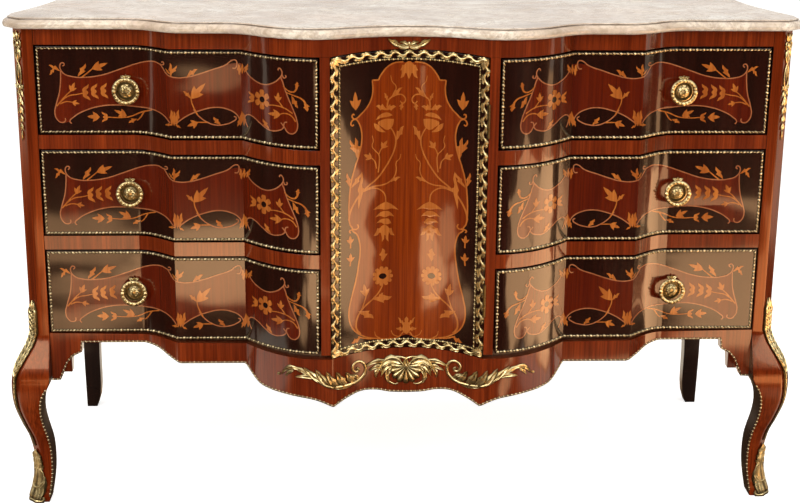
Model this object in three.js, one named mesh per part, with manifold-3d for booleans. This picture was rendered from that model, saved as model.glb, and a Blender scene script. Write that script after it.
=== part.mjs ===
// Serpentine breakfront commode: six drawers, a hollow-fronted door, cabriole legs, marble top.
// Millimetres, +Z up, the front faces -Y, +X to the right of someone who stands in front.
// Plan coordinates put Y = 0 on the flat outer part of the front; the group is centred at the end.

import * as THREE from 'three';
import Module from 'manifold-3d';
import { mergeVertices } from 'three/addons/utils/BufferGeometryUtils.js';

const wasm = await Module();
wasm.setup();

// Driving dimensions, across the front from the middle outwards
const door_half_width = 136;
const door_gap = 2;
const stile_width = 17;
const drawer_width = 502;
const drawer_gap = 3;
const post_width = 39;

// Driving dimensions, upwards from the ground
const floor_height = 340;
const drawer_height = 157;
const rail_height = 26;
const top_rail_height = 30;
const marble_thickness = 20;
const row_names = ['bottom', 'middle', 'top'];

// Driving dimensions, from front to back
const case_depth = 505;
const step_depth = 46;
const swell_depth = 84;
const door_hollow = 42;

// Where the front changes its curve, as shares of a drawer's width
const step_outer_share = 0.661;
const step_inner_share = 0.524;
const swell_share = 0.271;
const step_bend_share = 1.6;

// Thicknesses of wood, and the gap between pieces that are fitted together
const fit = 0.3;
const overrun = 5;
const front_thickness = 22;
const board_thickness = 18;
const dust_board_thickness = 14;
const back_thickness = 12;
const shelf_thickness = 16;
const shelf_setback = 90;
const shelf_height_share = 0.5;

// Corners, sides and rear legs
const corner_cant = 20;
const post_depth = 44;
const side_waist = 52;
const side_rear_inset = 22;
const side_wall = 18;
const rear_post_width = 40;
const rear_post_depth = 34;
const rear_sweep = 8;

// Front leg
const knee_swell = 36;
const knee_forward_share = 0.8;
const leg_rings = 30;

// Apron and the ears that join it to the legs
const apron_drop = 101;
const ear_width = 59;
const ear_drop = 94;

// Door leaf and its hinges
const door_thickness = 20;
const door_arch = 8;
const hinge_height = 60;
const hinge_place_share = 0.2;
const hinge_radius = 2.6;
const hinge_pin_radius = 1.2;
const hinge_flap_thickness = 1.2;
const hinge_flap_width = 14;
const hinge_flap_space = 0.4;
const hinge_proud = 1.8;

// Drawer boxes
const box_wall = 10;
const box_bottom = 8;
const box_height_share = 0.82;
const box_back_gap = 40;
const box_side_gap = 2;

// Ring pulls
const pull_place_share = 0.685;
const pull_ring_radius = 22.4;
const pull_tube_radius = 2.6;
const pull_plate_radius = 19;
const pull_plate_thickness = 2.4;
const pull_boss_radius = 15;
const pull_boss_height = 9;
const pull_lug_width = 6;
const pull_lug_wall = 2.4;
const pull_hole_clearance = 0.6;

// Gilt mounts on corners, legs, apron and top rail
const mount_relief = 4;
const chute_length = 200;
const chute_top_gap = 6;
const chute_width_share = 0.86;
const knee_mount_rise = 61;
const knee_mount_start_share = 0.33;
const knee_mount_width_share = 0.84;
const knee_widening_shares = [0.6, 0.8];
const knee_shoulder_share = 0.7;
const edge_strip_width_share = 0.34;
const sabot_height_share = 0.3;
const sabot_thickness = 3;
const door_frame_width = 13;
const door_frame_margin = 3;
const shell_half_width = 75;
const shell_height = 57;
const shell_drop = 17;
const scroll_width = 160;
const scroll_height = 40;
const scroll_start_share = 0.57;
const scroll_drop = 21;
const ribbon_half_width = 37;
const ribbon_width = 7;

// Marble slab
const marble_overhang = 24;
const marble_ridge_overhang = 10;
const marble_side_overhang = 14;
const marble_back_overhang = 5;
const marble_softening = 52;
const marble_ear_cut = 30;
const marble_round = 9;
const marble_quirk = 1;

// Sizes that follow from the driving dimensions
const opening_inner = door_half_width + door_gap;
const stile_outer = opening_inner + stile_width;
const drawer_inner = stile_outer + drawer_gap;
const drawer_outer = drawer_inner + drawer_width;
const post_inner = drawer_outer + drawer_gap;
const case_half_width = post_inner + post_width;
const step_outer = drawer_inner + step_outer_share * drawer_width;
const step_inner = drawer_inner + step_inner_share * drawer_width;
const swell_start = drawer_inner + swell_share * drawer_width;
const ridge_depth = step_depth + swell_depth;
const row_pitch = drawer_height + 2 * drawer_gap + rail_height;
const top_rail_bottom = floor_height + row_names.length * row_pitch - rail_height;
const case_top = top_rail_bottom + top_rail_height;
const side_inner = case_half_width - side_waist - side_wall;
const side_rear_x = case_half_width - side_rear_inset;
const rear_post_front = case_depth - rear_post_depth;
const rear_post_inner = side_rear_x - rear_post_width;
const panel_back = case_depth - fit;
const panel_front = panel_back - back_thickness;
const board_back = panel_front - fit;
const board_setback = front_thickness + fit;

// Materials, a new one for every mesh
const finishes = {
  veneer: { color: 0x6b2a15, roughness: 0.25, metalness: 0 },
  marquetry: { color: 0x8a3d16, roughness: 0.2, metalness: 0 },
  inner_wood: { color: 0xa97b4f, roughness: 0.6, metalness: 0 },
  dark_wood: { color: 0x24120c, roughness: 0.45, metalness: 0 },
  gilt: { color: 0xb08b45, roughness: 0.35, metalness: 1 },
  marble: { color: 0xd9c9b4, roughness: 0.3, metalness: 0 },
};

// Front plane of the case: plan depth at a distance x from the middle
function front_y(x) {
  const reach = Math.abs(x);
  if (reach >= step_outer) return 0;
  if (reach >= step_inner) {
    const t = (step_outer - reach) / (step_outer - step_inner);
    return -step_depth * t * t * (step_bend_share - (step_bend_share - 1) * t);
  }
  if (reach >= swell_start) return -step_depth;
  if (reach >= drawer_inner) {
    const t = (swell_start - reach) / (swell_start - drawer_inner);
    return -step_depth - swell_depth * (1 - (1 - t) ** 2);
  }
  if (reach >= opening_inner) return -ridge_depth;
  return -ridge_depth + door_hollow * (1 - (reach / opening_inner) ** 2);
}

// Outer face of a side: half width of the case at a plan depth y
function side_x(y) {
  const t = THREE.MathUtils.clamp((y - post_depth) / (rear_post_front - post_depth), 0, 1);
  const waist = side_waist - side_rear_inset / 2;
  return case_half_width - side_rear_inset * t - waist * Math.sin(Math.PI * t);
}

// Places across the front where a curved board needs a point, creases included
function stations(from, to) {
  const spans = [
    [0, opening_inner, 6],
    [opening_inner, drawer_inner, 1],
    [drawer_inner, swell_start, 5],
    [swell_start, step_inner, 1],
    [step_inner, step_outer, 4],
  ];
  const places = [from, to];
  for (const [start, end, count] of spans) {
    for (let i = 0; i <= count; i++) {
      const x = start + (end - start) * (i / count);
      for (const place of [x, -x]) {
        if (place > from + fit && place < to - fit) places.push(place);
      }
    }
  }
  places.sort((a, b) => a - b);
  return places.filter((place, i) => i === 0 || place - places[i - 1] > fit);
}

// Value read from a table of [position, value] pairs, smooth between them
function smooth_read(table, position) {
  const last = table.length - 1;
  let i = 0;
  while (i < last - 1 && position > table[i + 1][0]) i++;
  const [x0, y0] = table[i];
  const [x1, y1] = table[i + 1];
  const slope_at = (k) => {
    const [xa, ya] = table[Math.max(k - 1, 0)];
    const [xb, yb] = table[Math.min(k + 1, last)];
    return (yb - ya) / (xb - xa);
  };
  const width = x1 - x0;
  const t = THREE.MathUtils.clamp((position - x0) / width, 0, 1);
  const rise = t * t * (3 - 2 * t);
  const start_bend = t * (1 - t) ** 2 * width * slope_at(i);
  const end_bend = t * t * (t - 1) * width * slope_at(i + 1);
  return y0 + (y1 - y0) * rise + start_bend + end_bend;
}

// Points along a smooth curve through a few places
function curve_through(places, count) {
  const curve = new THREE.SplineCurve(places.map(([a, b]) => new THREE.Vector2(a, b)));
  return curve.getPoints(count).map((point) => [point.x, point.y]);
}

// Conversion between three.js geometry and closed solids that can be cut and joined
function solid_of(geometry) {
  const bare = geometry.clone();
  bare.deleteAttribute('normal');
  bare.deleteAttribute('uv');
  const merged = mergeVertices(bare);
  return new wasm.Manifold(new wasm.Mesh({
    numProp: 3,
    vertProperties: new Float32Array(merged.attributes.position.array),
    triVerts: new Uint32Array(merged.index.array),
  }));
}

function geometry_of(solid) {
  const mesh = solid.getMesh();
  const geometry = new THREE.BufferGeometry();
  geometry.setAttribute('position', new THREE.BufferAttribute(new Float32Array(mesh.vertProperties), 3));
  geometry.setIndex(new THREE.BufferAttribute(new Uint32Array(mesh.triVerts), 1));
  geometry.computeVertexNormals();
  return geometry;
}

function extruded(points, depth, holes = []) {
  const shape = new THREE.Shape(points.map(([a, b]) => new THREE.Vector2(a, b)));
  shape.holes = holes.map((hole) => new THREE.Path(hole.map(([a, b]) => new THREE.Vector2(a, b))));
  return new THREE.ExtrudeGeometry(shape, { depth, bevelEnabled: false });
}

// Plan outline (x, y) raised from one height to another
function raised(points, bottom, top) {
  return solid_of(extruded(points, top - bottom).translate(0, 0, bottom));
}

// Elevation outline (x, z) pushed from one plan depth back to another
function pushed(points, front, back, holes = []) {
  return solid_of(extruded(points, back - front, holes).rotateX(Math.PI / 2).translate(0, back, 0));
}

// Side outline (y, z) pushed from one x to a larger one
function widened(points, from, to) {
  const side_on = extruded(points, to - from).rotateX(Math.PI / 2).rotateZ(Math.PI / 2);
  return solid_of(side_on.translate(from, 0, 0));
}

function block(x0, x1, y0, y1, z0, z1) {
  return raised([[x0, y0], [x1, y0], [x1, y1], [x0, y1]], z0, z1);
}

function upright_cylinder(radius, x, y, z0, z1) {
  const geometry = new THREE.CylinderGeometry(radius, radius, z1 - z0, 12).rotateX(Math.PI / 2);
  return solid_of(geometry.translate(x, y, (z0 + z1) / 2));
}

// Closed skin over level rings of equal point count, listed from the bottom up
function lofted(rings) {
  const count = rings[0].length;
  const positions = rings.flat().flat();
  const index = [];
  for (let r = 0; r < rings.length - 1; r++) {
    for (let i = 0; i < count; i++) {
      const a = r * count + i;
      const b = r * count + ((i + 1) % count);
      index.push(a, b, b + count, a, b + count, a + count);
    }
  }
  const flat = (ring) => ring.map(([x, y]) => new THREE.Vector2(x, y));
  const top = (rings.length - 1) * count;
  for (const [a, b, c] of THREE.ShapeUtils.triangulateShape(flat(rings[0]), [])) index.push(a, c, b);
  for (const [a, b, c] of THREE.ShapeUtils.triangulateShape(flat(rings.at(-1)), [])) {
    index.push(top + a, top + b, top + c);
  }
  const geometry = new THREE.BufferGeometry();
  geometry.setAttribute('position', new THREE.Float32BufferAttribute(positions, 3));
  geometry.setIndex(index);
  geometry.computeVertexNormals();
  return geometry;
}

// The same piece for the other side of the chest
function mirrored(geometry) {
  const copy = geometry.clone().scale(-1, 1, 1);
  const index = copy.index.array.slice();
  for (let i = 0; i < index.length; i += 3) [index[i], index[i + 1]] = [index[i + 1], index[i]];
  copy.setIndex(new THREE.BufferAttribute(index, 1));
  copy.computeVertexNormals();
  return copy;
}

// Board that follows the front in plan: inset says how far its face lies behind the front plane
function front_outline(from, to, inset, thickness) {
  const places = stations(from, to);
  const face = places.map((x) => [x, front_y(x) + inset]);
  const rear = places.map((x) => [x, front_y(x) + inset + thickness]).reverse();
  return [...face, ...rear];
}

function front_board(from, to, inset, thickness, bottom, top) {
  return raised(front_outline(from, to, inset, thickness), bottom, top);
}

// Level board behind the front, cut straight at its back and ends
function level_board(from, to, inset, back, bottom, top) {
  const face = stations(from, to).map((x) => [x, front_y(x) + inset]);
  return raised([...face, [to, back], [from, back]], bottom, top);
}

// Flat ornament laid on the curved front
function on_front(points, from, to, relief, holes = []) {
  const depth = ridge_depth + overrun + relief;
  const heights = points.map(([, z]) => z);
  const low = Math.min(...heights) - overrun;
  const high = Math.max(...heights) + overrun;
  const skin = front_board(from, to, -fit - relief, relief, low, high);
  return skin.intersect(pushed(points, -depth, depth, holes));
}

const chest = new THREE.Group();

function place(name, finish, shape) {
  const geometry = shape.isBufferGeometry ? shape : geometry_of(shape);
  const mesh = new THREE.Mesh(geometry, new THREE.MeshStandardMaterial(finishes[finish]));
  mesh.name = name;
  chest.add(mesh);
  return mesh;
}

function place_pair(name, finish, shape) {
  const right = shape.isBufferGeometry ? shape : geometry_of(shape);
  place(`${name}_left`, finish, mirrored(right));
  place(`${name}_right`, finish, right);
}

// Marble top: the front line of the case, softened, with canted ears and a moulded edge
function marble_front_y(x) {
  const taps = [-2, -1, 0, 1, 2];
  const weight_of = (tap) => 3 - Math.abs(tap);
  const total = taps.reduce((sum, tap) => sum + weight_of(tap), 0);
  const tap_gap = marble_softening / (taps.length - 1);
  const soft = taps.reduce((sum, tap) => sum + weight_of(tap) * front_y(x + tap * tap_gap), 0) / total;
  const t = THREE.MathUtils.smoothstep(Math.abs(x), drawer_inner, swell_start);
  return soft - THREE.MathUtils.lerp(marble_ridge_overhang, marble_overhang, t);
}

function marble_outline() {
  const tip = case_half_width + marble_side_overhang;
  const ear = tip - marble_ear_cut;
  const front_count = 22;
  const side_count = 8;
  const right = [];
  for (let i = 0; i <= front_count; i++) {
    const x = ear * (i / front_count);
    right.push([x, marble_front_y(x)]);
  }
  const ear_depth = marble_ear_cut - marble_overhang;
  right.push([(ear + tip) / 2 + marble_quirk, (ear_depth - marble_overhang) / 2 - marble_quirk]);
  right.push([tip, ear_depth]);
  const back = case_depth + marble_back_overhang;
  for (let i = 0; i <= side_count; i++) {
    const y = post_depth + (rear_post_front - post_depth) * (i / side_count);
    right.push([side_x(y) + marble_side_overhang, y]);
  }
  right.push([side_rear_x + marble_side_overhang, back]);
  const left = right.slice(1).reverse().map(([x, y]) => [-x, y]);
  return [...right, ...left];
}

function drawn_in(outline, inset) {
  const count = outline.length;
  return outline.map(([x, y], i) => {
    const [px, py] = outline[(i + count - 1) % count];
    const [nx, ny] = outline[(i + 1) % count];
    const before = new THREE.Vector2(py - y, x - px).normalize();
    const after = new THREE.Vector2(y - ny, nx - x).normalize();
    const miter = before.clone().add(after).divideScalar(1 + before.dot(after));
    return [x + miter.x * inset, y + miter.y * inset];
  });
}

const marble_bottom = case_top + fit;
const marble_edge_shares = [
  [0.75, 0], [0.25, 0.1], [0, 0.35], [0.05, 0.62], [0.4, 0.86], [1, 0.97],
];
{
  const outline = marble_outline();
  const rings = marble_edge_shares.map(([inset, rise]) => [inset * marble_round, rise * marble_thickness]);
  rings.push([marble_round + marble_quirk / 2, marble_thickness - 2 * marble_quirk]);
  rings.push([marble_round + 2 * marble_quirk, marble_thickness]);
  const levels = rings.map(([inset, rise]) => (
    drawn_in(outline, inset).map(([x, y]) => [x, y, marble_bottom + rise])
  ));
  place('marble_top', 'marble', lofted(levels));
}

// Carcass boards
const top_board_bottom = case_top - board_thickness;
const bottom_board_bottom = floor_height - board_thickness;
const board_reach = side_inner - fit;
place('top_board', 'inner_wood', level_board(
  -board_reach, board_reach, board_setback, board_back, top_board_bottom, case_top,
));
place('bottom_board', 'inner_wood', level_board(
  -board_reach, board_reach, board_setback, board_back, bottom_board_bottom, floor_height,
));
place('back_panel', 'inner_wood', block(
  fit - rear_post_inner, rear_post_inner - fit, panel_front, panel_back, bottom_board_bottom, case_top,
));

// Arched line across the door opening, seen from the front
function arch(half_width, ends_z, rise) {
  const count = 8;
  const points = [];
  for (let i = 0; i <= count; i++) {
    const t = (2 * i) / count - 1;
    points.push([t * half_width, ends_z + rise * (1 - t * t)]);
  }
  return points;
}

// Top rail, arched over the door
const rail_reach = post_inner - fit;
{
  const outline = [
    [-rail_reach, top_rail_bottom], ...arch(opening_inner, top_rail_bottom, door_arch),
    [rail_reach, top_rail_bottom], [rail_reach, case_top], [-rail_reach, case_top],
  ];
  const rail = front_board(
    -rail_reach, rail_reach, 0, front_thickness, top_rail_bottom - overrun, case_top + overrun,
  );
  place('top_rail', 'veneer', rail.intersect(pushed(outline, -case_depth, case_depth)));
}

// Ear that joins a lower edge to a leg, as shares of its width and drop, from the leg outwards
const ear_shares = [[0, 1], [0.27, 0.99], [0.53, 0.62], [0.7, 0.49], [0.98, 0.4], [1, 0.2]];
function ear(start, way) {
  return ear_shares.map(([along, drop]) => (
    [start + way * along * ear_width, floor_height - drop * ear_drop]
  ));
}

// Apron, its lower edge as shares of the opening's half width and of the drop
const apron_lobe_shares = [
  [0, 0.87], [0.045, 0.85], [0.083, 0.79], [0.124, 0.78], [0.163, 0.87], [0.2, 1],
];
const apron_swell_shares = [
  [0.2, 1], [0.253, 0.85], [0.317, 0.8], [0.377, 0.77], [0.412, 0.7], [0.448, 0.44],
];
const apron_step_shares = [[0.627, 0.44], [0.664, 0.35], [0.694, 0.25], [0.732, 0.188]];
function apron_edge() {
  const to_size = ([across, drop]) => [across * rail_reach, floor_height - drop * apron_drop];
  const right = [
    ...curve_through(apron_lobe_shares.map(to_size), 10),
    ...curve_through(apron_swell_shares.map(to_size), 10).slice(1),
    ...curve_through(apron_step_shares.map(to_size), 6),
    ...ear(rail_reach, -1).reverse(),
  ];
  return [...right.slice(1).reverse().map(([x, z]) => [-x, z]), ...right];
}
{
  const sill = arch(opening_inner, floor_height - door_arch, door_arch).reverse();
  const outline = [
    ...apron_edge(), [rail_reach, floor_height], [opening_inner + fit, floor_height],
    ...sill, [-opening_inner - fit, floor_height], [-rail_reach, floor_height],
  ];
  const low = floor_height - apron_drop - overrun;
  const board = front_board(-rail_reach, rail_reach, 0, front_thickness, low, floor_height + overrun);
  place('apron', 'veneer', board.intersect(pushed(outline, -case_depth, case_depth)));
}

// Sides: shaped outside, flat inside, with ears at both lower corners
{
  const front_end = post_depth + fit;
  const back_end = rear_post_front - fit;
  const count = 10;
  const plan = [[side_inner, back_end], [side_inner, front_end]];
  for (let i = 0; i <= count; i++) {
    const y = front_end + (back_end - front_end) * (i / count);
    plan.push([side_x(y), y]);
  }
  const edge = [
    ...ear(front_end, 1), ...ear(back_end, -1).reverse(), [back_end, case_top], [front_end, case_top],
  ];
  const panel = raised(plan, floor_height - ear_drop - overrun, case_top + overrun);
  const cutter = widened(edge, side_inner - overrun, case_half_width + overrun);
  place_pair('side_panel', 'veneer', panel.intersect(cutter));
}

// Front legs: offsets as shares of the knee's swell, up the height below the drawers
const leg_outer_shares = [
  [0, 0.42], [0.03, 0.4], [0.1, 0.2], [0.19, 0.1], [0.29, 0.16], [0.39, 0.34], [0.48, 0.64],
  [0.59, 0.93], [0.7, 1], [0.79, 0.9], [0.85, 0.66], [0.94, 0.18], [1, 0],
];
const leg_inner_shares = [
  [0, 0.44], [0.1, 0.28], [0.2, 0.19], [0.34, 0.22], [0.49, 0.47], [0.57, 0.53], [0.65, 0.42],
  [0.72, 0.06], [0.76, 0], [1, 0],
];
const foot_cant_share = 0.7;

function leg_section_at_ring(ring) {
  const share = Math.min(ring / leg_rings, 1);
  const swell = smooth_read(leg_outer_shares, share) * knee_swell;
  const draw = smooth_read(leg_inner_shares, share) * knee_swell;
  const outer = case_half_width + swell;
  const inner = post_inner + draw;
  const front = -swell * knee_forward_share;
  const back = post_depth - draw;
  const cant = corner_cant * THREE.MathUtils.lerp(foot_cant_share, 1, share);
  return { outer, inner, front, back, cant };
}

// Section at any height, straight between the leg's own rings
function leg_section(z) {
  const ring = Math.max(z / (floor_height / leg_rings), 0);
  const low = leg_section_at_ring(Math.floor(ring));
  const high = leg_section_at_ring(Math.floor(ring) + 1);
  const t = ring - Math.floor(ring);
  const section = {};
  for (const key of Object.keys(low)) section[key] = THREE.MathUtils.lerp(low[key], high[key], t);
  return section;
}
{
  const heights = [];
  for (let ring = 0; ring <= leg_rings; ring++) heights.push(ring * (floor_height / leg_rings));
  heights.push(case_top);
  const rings = heights.map((z) => {
    const { outer, inner, front, back, cant } = leg_section(z);
    return [
      [inner, front, z], [outer - cant, front, z], [outer, front + cant, z],
      [outer, back, z], [inner, back, z],
    ];
  });
  place_pair('front_leg', 'veneer', lofted(rings));
}

// Rear legs: plain, the inner face drawn in towards the foot, with a slight backward sweep
const rear_inner_shares = [[0, 0.45], [0.08, 0.28], [0.2, 0.18], [0.6, 0.14], [1, 0]];
const rear_sweep_shares = [[0, 0], [0.25, 0.6], [0.55, 1], [1, 0]];
const rear_foot_share = 0.85;
{
  const free_height = floor_height - ear_drop;
  const count = 10;
  const heights = [];
  for (let i = 0; i <= count; i++) heights.push((free_height * i) / count);
  heights.push(case_top);
  const rings = heights.map((z) => {
    const share = Math.min(z / free_height, 1);
    const inner = rear_post_inner + smooth_read(rear_inner_shares, share) * rear_post_width;
    const sweep = -smooth_read(rear_sweep_shares, share) * rear_sweep;
    const depth = rear_post_depth * THREE.MathUtils.lerp(rear_foot_share, 1, share);
    const back = case_depth + sweep;
    return [
      [inner, back - depth, z], [side_rear_x, back - depth, z], [side_rear_x, back, z], [inner, back, z],
    ];
  });
  place_pair('rear_leg', 'dark_wood', lofted(rings));
}

// Door leaf, arched above and below
const leaf_bottom = floor_height - door_arch + door_gap;
const leaf_top = top_rail_bottom - door_gap;
function door_outline(margin) {
  const half = door_half_width - margin;
  return [
    ...arch(half, leaf_bottom + margin, door_arch), ...arch(half, leaf_top - margin, door_arch).reverse(),
  ];
}

// Butt hinges: knuckle line just proud of the front, between leaf and stile
const hinge_x = door_half_width + door_gap / 2;
const hinge_y = -ridge_depth - hinge_proud;
const hinge_middles = [hinge_place_share, 1 - hinge_place_share].map(
  (share) => leaf_bottom + share * (leaf_top - leaf_bottom),
);
const hinge_clear = hinge_radius + fit;

function hinge_cut() {
  const cuts = hinge_middles.map((middle) => {
    const low = middle - hinge_height / 2 - fit;
    const high = middle + hinge_height / 2 + fit;
    const knuckle = upright_cylinder(hinge_clear, hinge_x, hinge_y, low, high);
    const reach = hinge_flap_space / 2 + hinge_flap_thickness + fit;
    const flaps = block(
      hinge_x - reach, hinge_x + reach, hinge_y, hinge_y + hinge_flap_width + fit, low, high,
    );
    return knuckle.add(flaps);
  });
  return cuts[0].add(cuts[1]);
}

function hinge_half(middle, side) {
  const knuckle_height = hinge_height / 3;
  const low = middle - hinge_height / 2;
  const high = middle + hinge_height / 2;
  const near = hinge_x + side * (hinge_flap_space / 2);
  const far = near + side * hinge_flap_thickness;
  const flap = block(
    Math.min(near, far), Math.max(near, far), hinge_y, hinge_y + hinge_flap_width, low, high,
  );
  const centre_low = low + knuckle_height;
  const centre_high = high - knuckle_height;
  if (side > 0) {
    const gap = upright_cylinder(hinge_clear, hinge_x, hinge_y, centre_low - fit, centre_high + fit);
    const pin = upright_cylinder(hinge_pin_radius, hinge_x, hinge_y, low, high);
    const lower = upright_cylinder(hinge_radius, hinge_x, hinge_y, low, centre_low - fit);
    const upper = upright_cylinder(hinge_radius, hinge_x, hinge_y, centre_high + fit, high);
    return flap.subtract(gap).add(lower).add(upper).add(pin);
  }
  const low_gap = upright_cylinder(hinge_clear, hinge_x, hinge_y, low - fit, centre_low);
  const high_gap = upright_cylinder(hinge_clear, hinge_x, hinge_y, centre_high, high + fit);
  const bore = upright_cylinder(hinge_pin_radius + fit, hinge_x, hinge_y, low - fit, high + fit);
  const middle_knuckle = upright_cylinder(hinge_radius, hinge_x, hinge_y, centre_low, centre_high);
  return flap.subtract(low_gap).subtract(high_gap).add(middle_knuckle).subtract(bore);
}
['lower', 'upper'].forEach((name, i) => {
  place(`door_hinge_${name}_fixed`, 'gilt', hinge_half(hinge_middles[i], 1));
  place(`door_hinge_${name}_moving`, 'gilt', hinge_half(hinge_middles[i], -1));
});
{
  const high = leaf_top + door_arch + overrun;
  const leaf = front_board(
    -door_half_width, door_half_width, 0, door_thickness, leaf_bottom - overrun, high,
  );
  const shaped = leaf.intersect(pushed(door_outline(0), -case_depth, case_depth));
  place('door_panel', 'marquetry', shaped.subtract(hinge_cut()));
  const reach = door_half_width - door_frame_margin + overrun;
  const opening = door_outline(door_frame_margin + door_frame_width);
  place('door_frame_mount', 'gilt', on_front(
    door_outline(door_frame_margin), -reach, reach, mount_relief, [opening],
  ));
}

// Partitions: each is one board whose front edge is the stile beside the door
function partition() {
  const outline = [
    [-ridge_depth, floor_height + fit], [board_back, floor_height + fit],
    [board_back, top_board_bottom - fit], [-ridge_depth + board_setback, top_board_bottom - fit],
    [-ridge_depth + board_setback, top_rail_bottom - fit], [-ridge_depth, top_rail_bottom - fit],
  ];
  return widened(outline, opening_inner, stile_outer);
}
place('partition_left', 'veneer', mirrored(geometry_of(partition())));
place('partition_right', 'veneer', partition().subtract(hinge_cut()));

// Cupboard shelf, held between the partitions
{
  const middle = floor_height + shelf_height_share * (top_board_bottom - floor_height);
  const low = middle - shelf_thickness / 2;
  const reach = opening_inner - fit;
  const front = -ridge_depth + shelf_setback;
  place('cupboard_shelf', 'inner_wood', block(
    -reach, reach, front, board_back, low, low + shelf_thickness,
  ));
}

// Drawer rails with the dust boards that carry the drawers above them
row_names.slice(0, -1).forEach((row, level) => {
  const top = floor_height + (level + 1) * row_pitch;
  const rail = front_board(stile_outer + fit, rail_reach, 0, front_thickness, top - rail_height, top);
  const board = level_board(
    stile_outer + fit, board_reach, front_thickness / 2, board_back, top - dust_board_thickness, top,
  );
  place_pair(`dust_board_above_${row}`, 'veneer', rail.add(board));
});

// Drawers: a shaped front, a box open at the top, a pull plate and its ring
const box_inner = drawer_inner;
const box_outer = side_inner - box_side_gap;
const box_back = case_depth - box_back_gap - back_thickness;
const box_height = box_height_share * drawer_height;

function drawer_front(bottom) {
  return front_board(drawer_inner, drawer_outer, 0, front_thickness, bottom, bottom + drawer_height);
}

function drawer_box(floor) {
  const low = floor + fit;
  const solid = level_board(box_inner, box_outer, board_setback, box_back, low, low + box_height);
  const hollow = level_board(
    box_inner + box_wall, box_outer - box_wall, board_setback - overrun, box_back - box_wall,
    low + box_bottom, low + box_height + overrun,
  );
  return solid.subtract(hollow);
}

const pull_x = drawer_inner + pull_place_share * drawer_width;
const pull_y = front_y(pull_x) - fit;
const pull_ring_y = pull_y - pull_boss_height - pull_tube_radius - 2 * fit;
const pull_face_y = pull_y - pull_plate_thickness;
const pull_eye_radius = pull_tube_radius + pull_hole_clearance;
const pull_profile_shares = [
  [0, 1], [0.35, 0.95], [0.72, 0.72], [0.9, 0.42], [1, 0.27],
];

function pull_plate(height) {
  const boss = pull_profile_shares.map(([out, rise]) => (
    new THREE.Vector2(out * pull_boss_radius, rise * pull_boss_height)
  ));
  const profile = [
    new THREE.Vector2(0, 0), new THREE.Vector2(pull_plate_radius, 0),
    new THREE.Vector2(pull_plate_radius, pull_plate_thickness / 2),
    new THREE.Vector2(pull_plate_radius - pull_plate_thickness / 2, pull_plate_thickness),
    ...boss.reverse(),
  ];
  const turned = new THREE.LatheGeometry(profile, 20).rotateX(Math.PI);
  const plate = solid_of(turned.translate(pull_x, pull_y, height));
  const eye_z = height + pull_ring_radius;
  const eye_outer = pull_eye_radius + pull_lug_wall;
  const half = pull_lug_width / 2;
  const arm = block(
    pull_x - half, pull_x + half, pull_ring_y, pull_y, eye_z - eye_outer, eye_z + pull_eye_radius,
  );
  const across = (radius, reach) => solid_of(
    new THREE.CylinderGeometry(radius, radius, 2 * reach, 12).rotateZ(Math.PI / 2)
      .translate(pull_x, pull_ring_y, eye_z),
  );
  const backing = block(
    pull_x - half, pull_x + half, pull_face_y, pull_y, height, eye_z + pull_eye_radius,
  );
  const seat_bottom = height - drawer_height / 2;
  const seat = front_board(
    drawer_inner, drawer_outer, -fit, front_thickness, seat_bottom, seat_bottom + drawer_height,
  );
  return plate.add(backing).add(arm).add(across(eye_outer, half))
    .subtract(across(pull_eye_radius, half + overrun)).subtract(seat);
}

function pull_ring(height) {
  return new THREE.TorusGeometry(pull_ring_radius, pull_tube_radius, 8, 24).rotateX(Math.PI / 2)
    .translate(pull_x, pull_ring_y, height);
}

row_names.forEach((row, level) => {
  const floor = floor_height + level * row_pitch;
  const bottom = floor + drawer_gap;
  const middle = bottom + drawer_height / 2;
  place_pair(`drawer_front_${row}`, 'marquetry', drawer_front(bottom));
  place_pair(`drawer_box_${row}`, 'inner_wood', drawer_box(floor));
  place_pair(`pull_plate_${row}`, 'gilt', pull_plate(middle));
  place_pair(`pull_ring_${row}`, 'gilt', solid_of(pull_ring(middle)));
});

// Corner chutes: a leaf drop on each canted corner
const chute_shares = [
  [0, 0.8], [0.05, 1], [0.11, 0.72], [0.19, 0.95], [0.3, 0.5], [0.4, 0.74], [0.5, 0.36],
  [0.6, 0.54], [0.7, 0.3], [0.84, 0.36], [1, 0.08],
];
{
  const face_width = corner_cant * Math.SQRT2;
  const top = case_top - chute_top_gap;
  const half = (face_width * chute_width_share) / 2;
  const right = chute_shares.map(([down, out]) => [out * half, top - down * chute_length]);
  const left = right.map(([x, z]) => [-x, z]).reverse();
  const drop = pushed([...right.reverse(), ...left.reverse()], -fit - mount_relief, -fit);
  const turned = geometry_of(drop).rotateZ(Math.PI / 4);
  turned.translate(case_half_width - corner_cant / 2, corner_cant / 2, 0);
  place_pair('corner_mount', 'gilt', turned);
}

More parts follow.
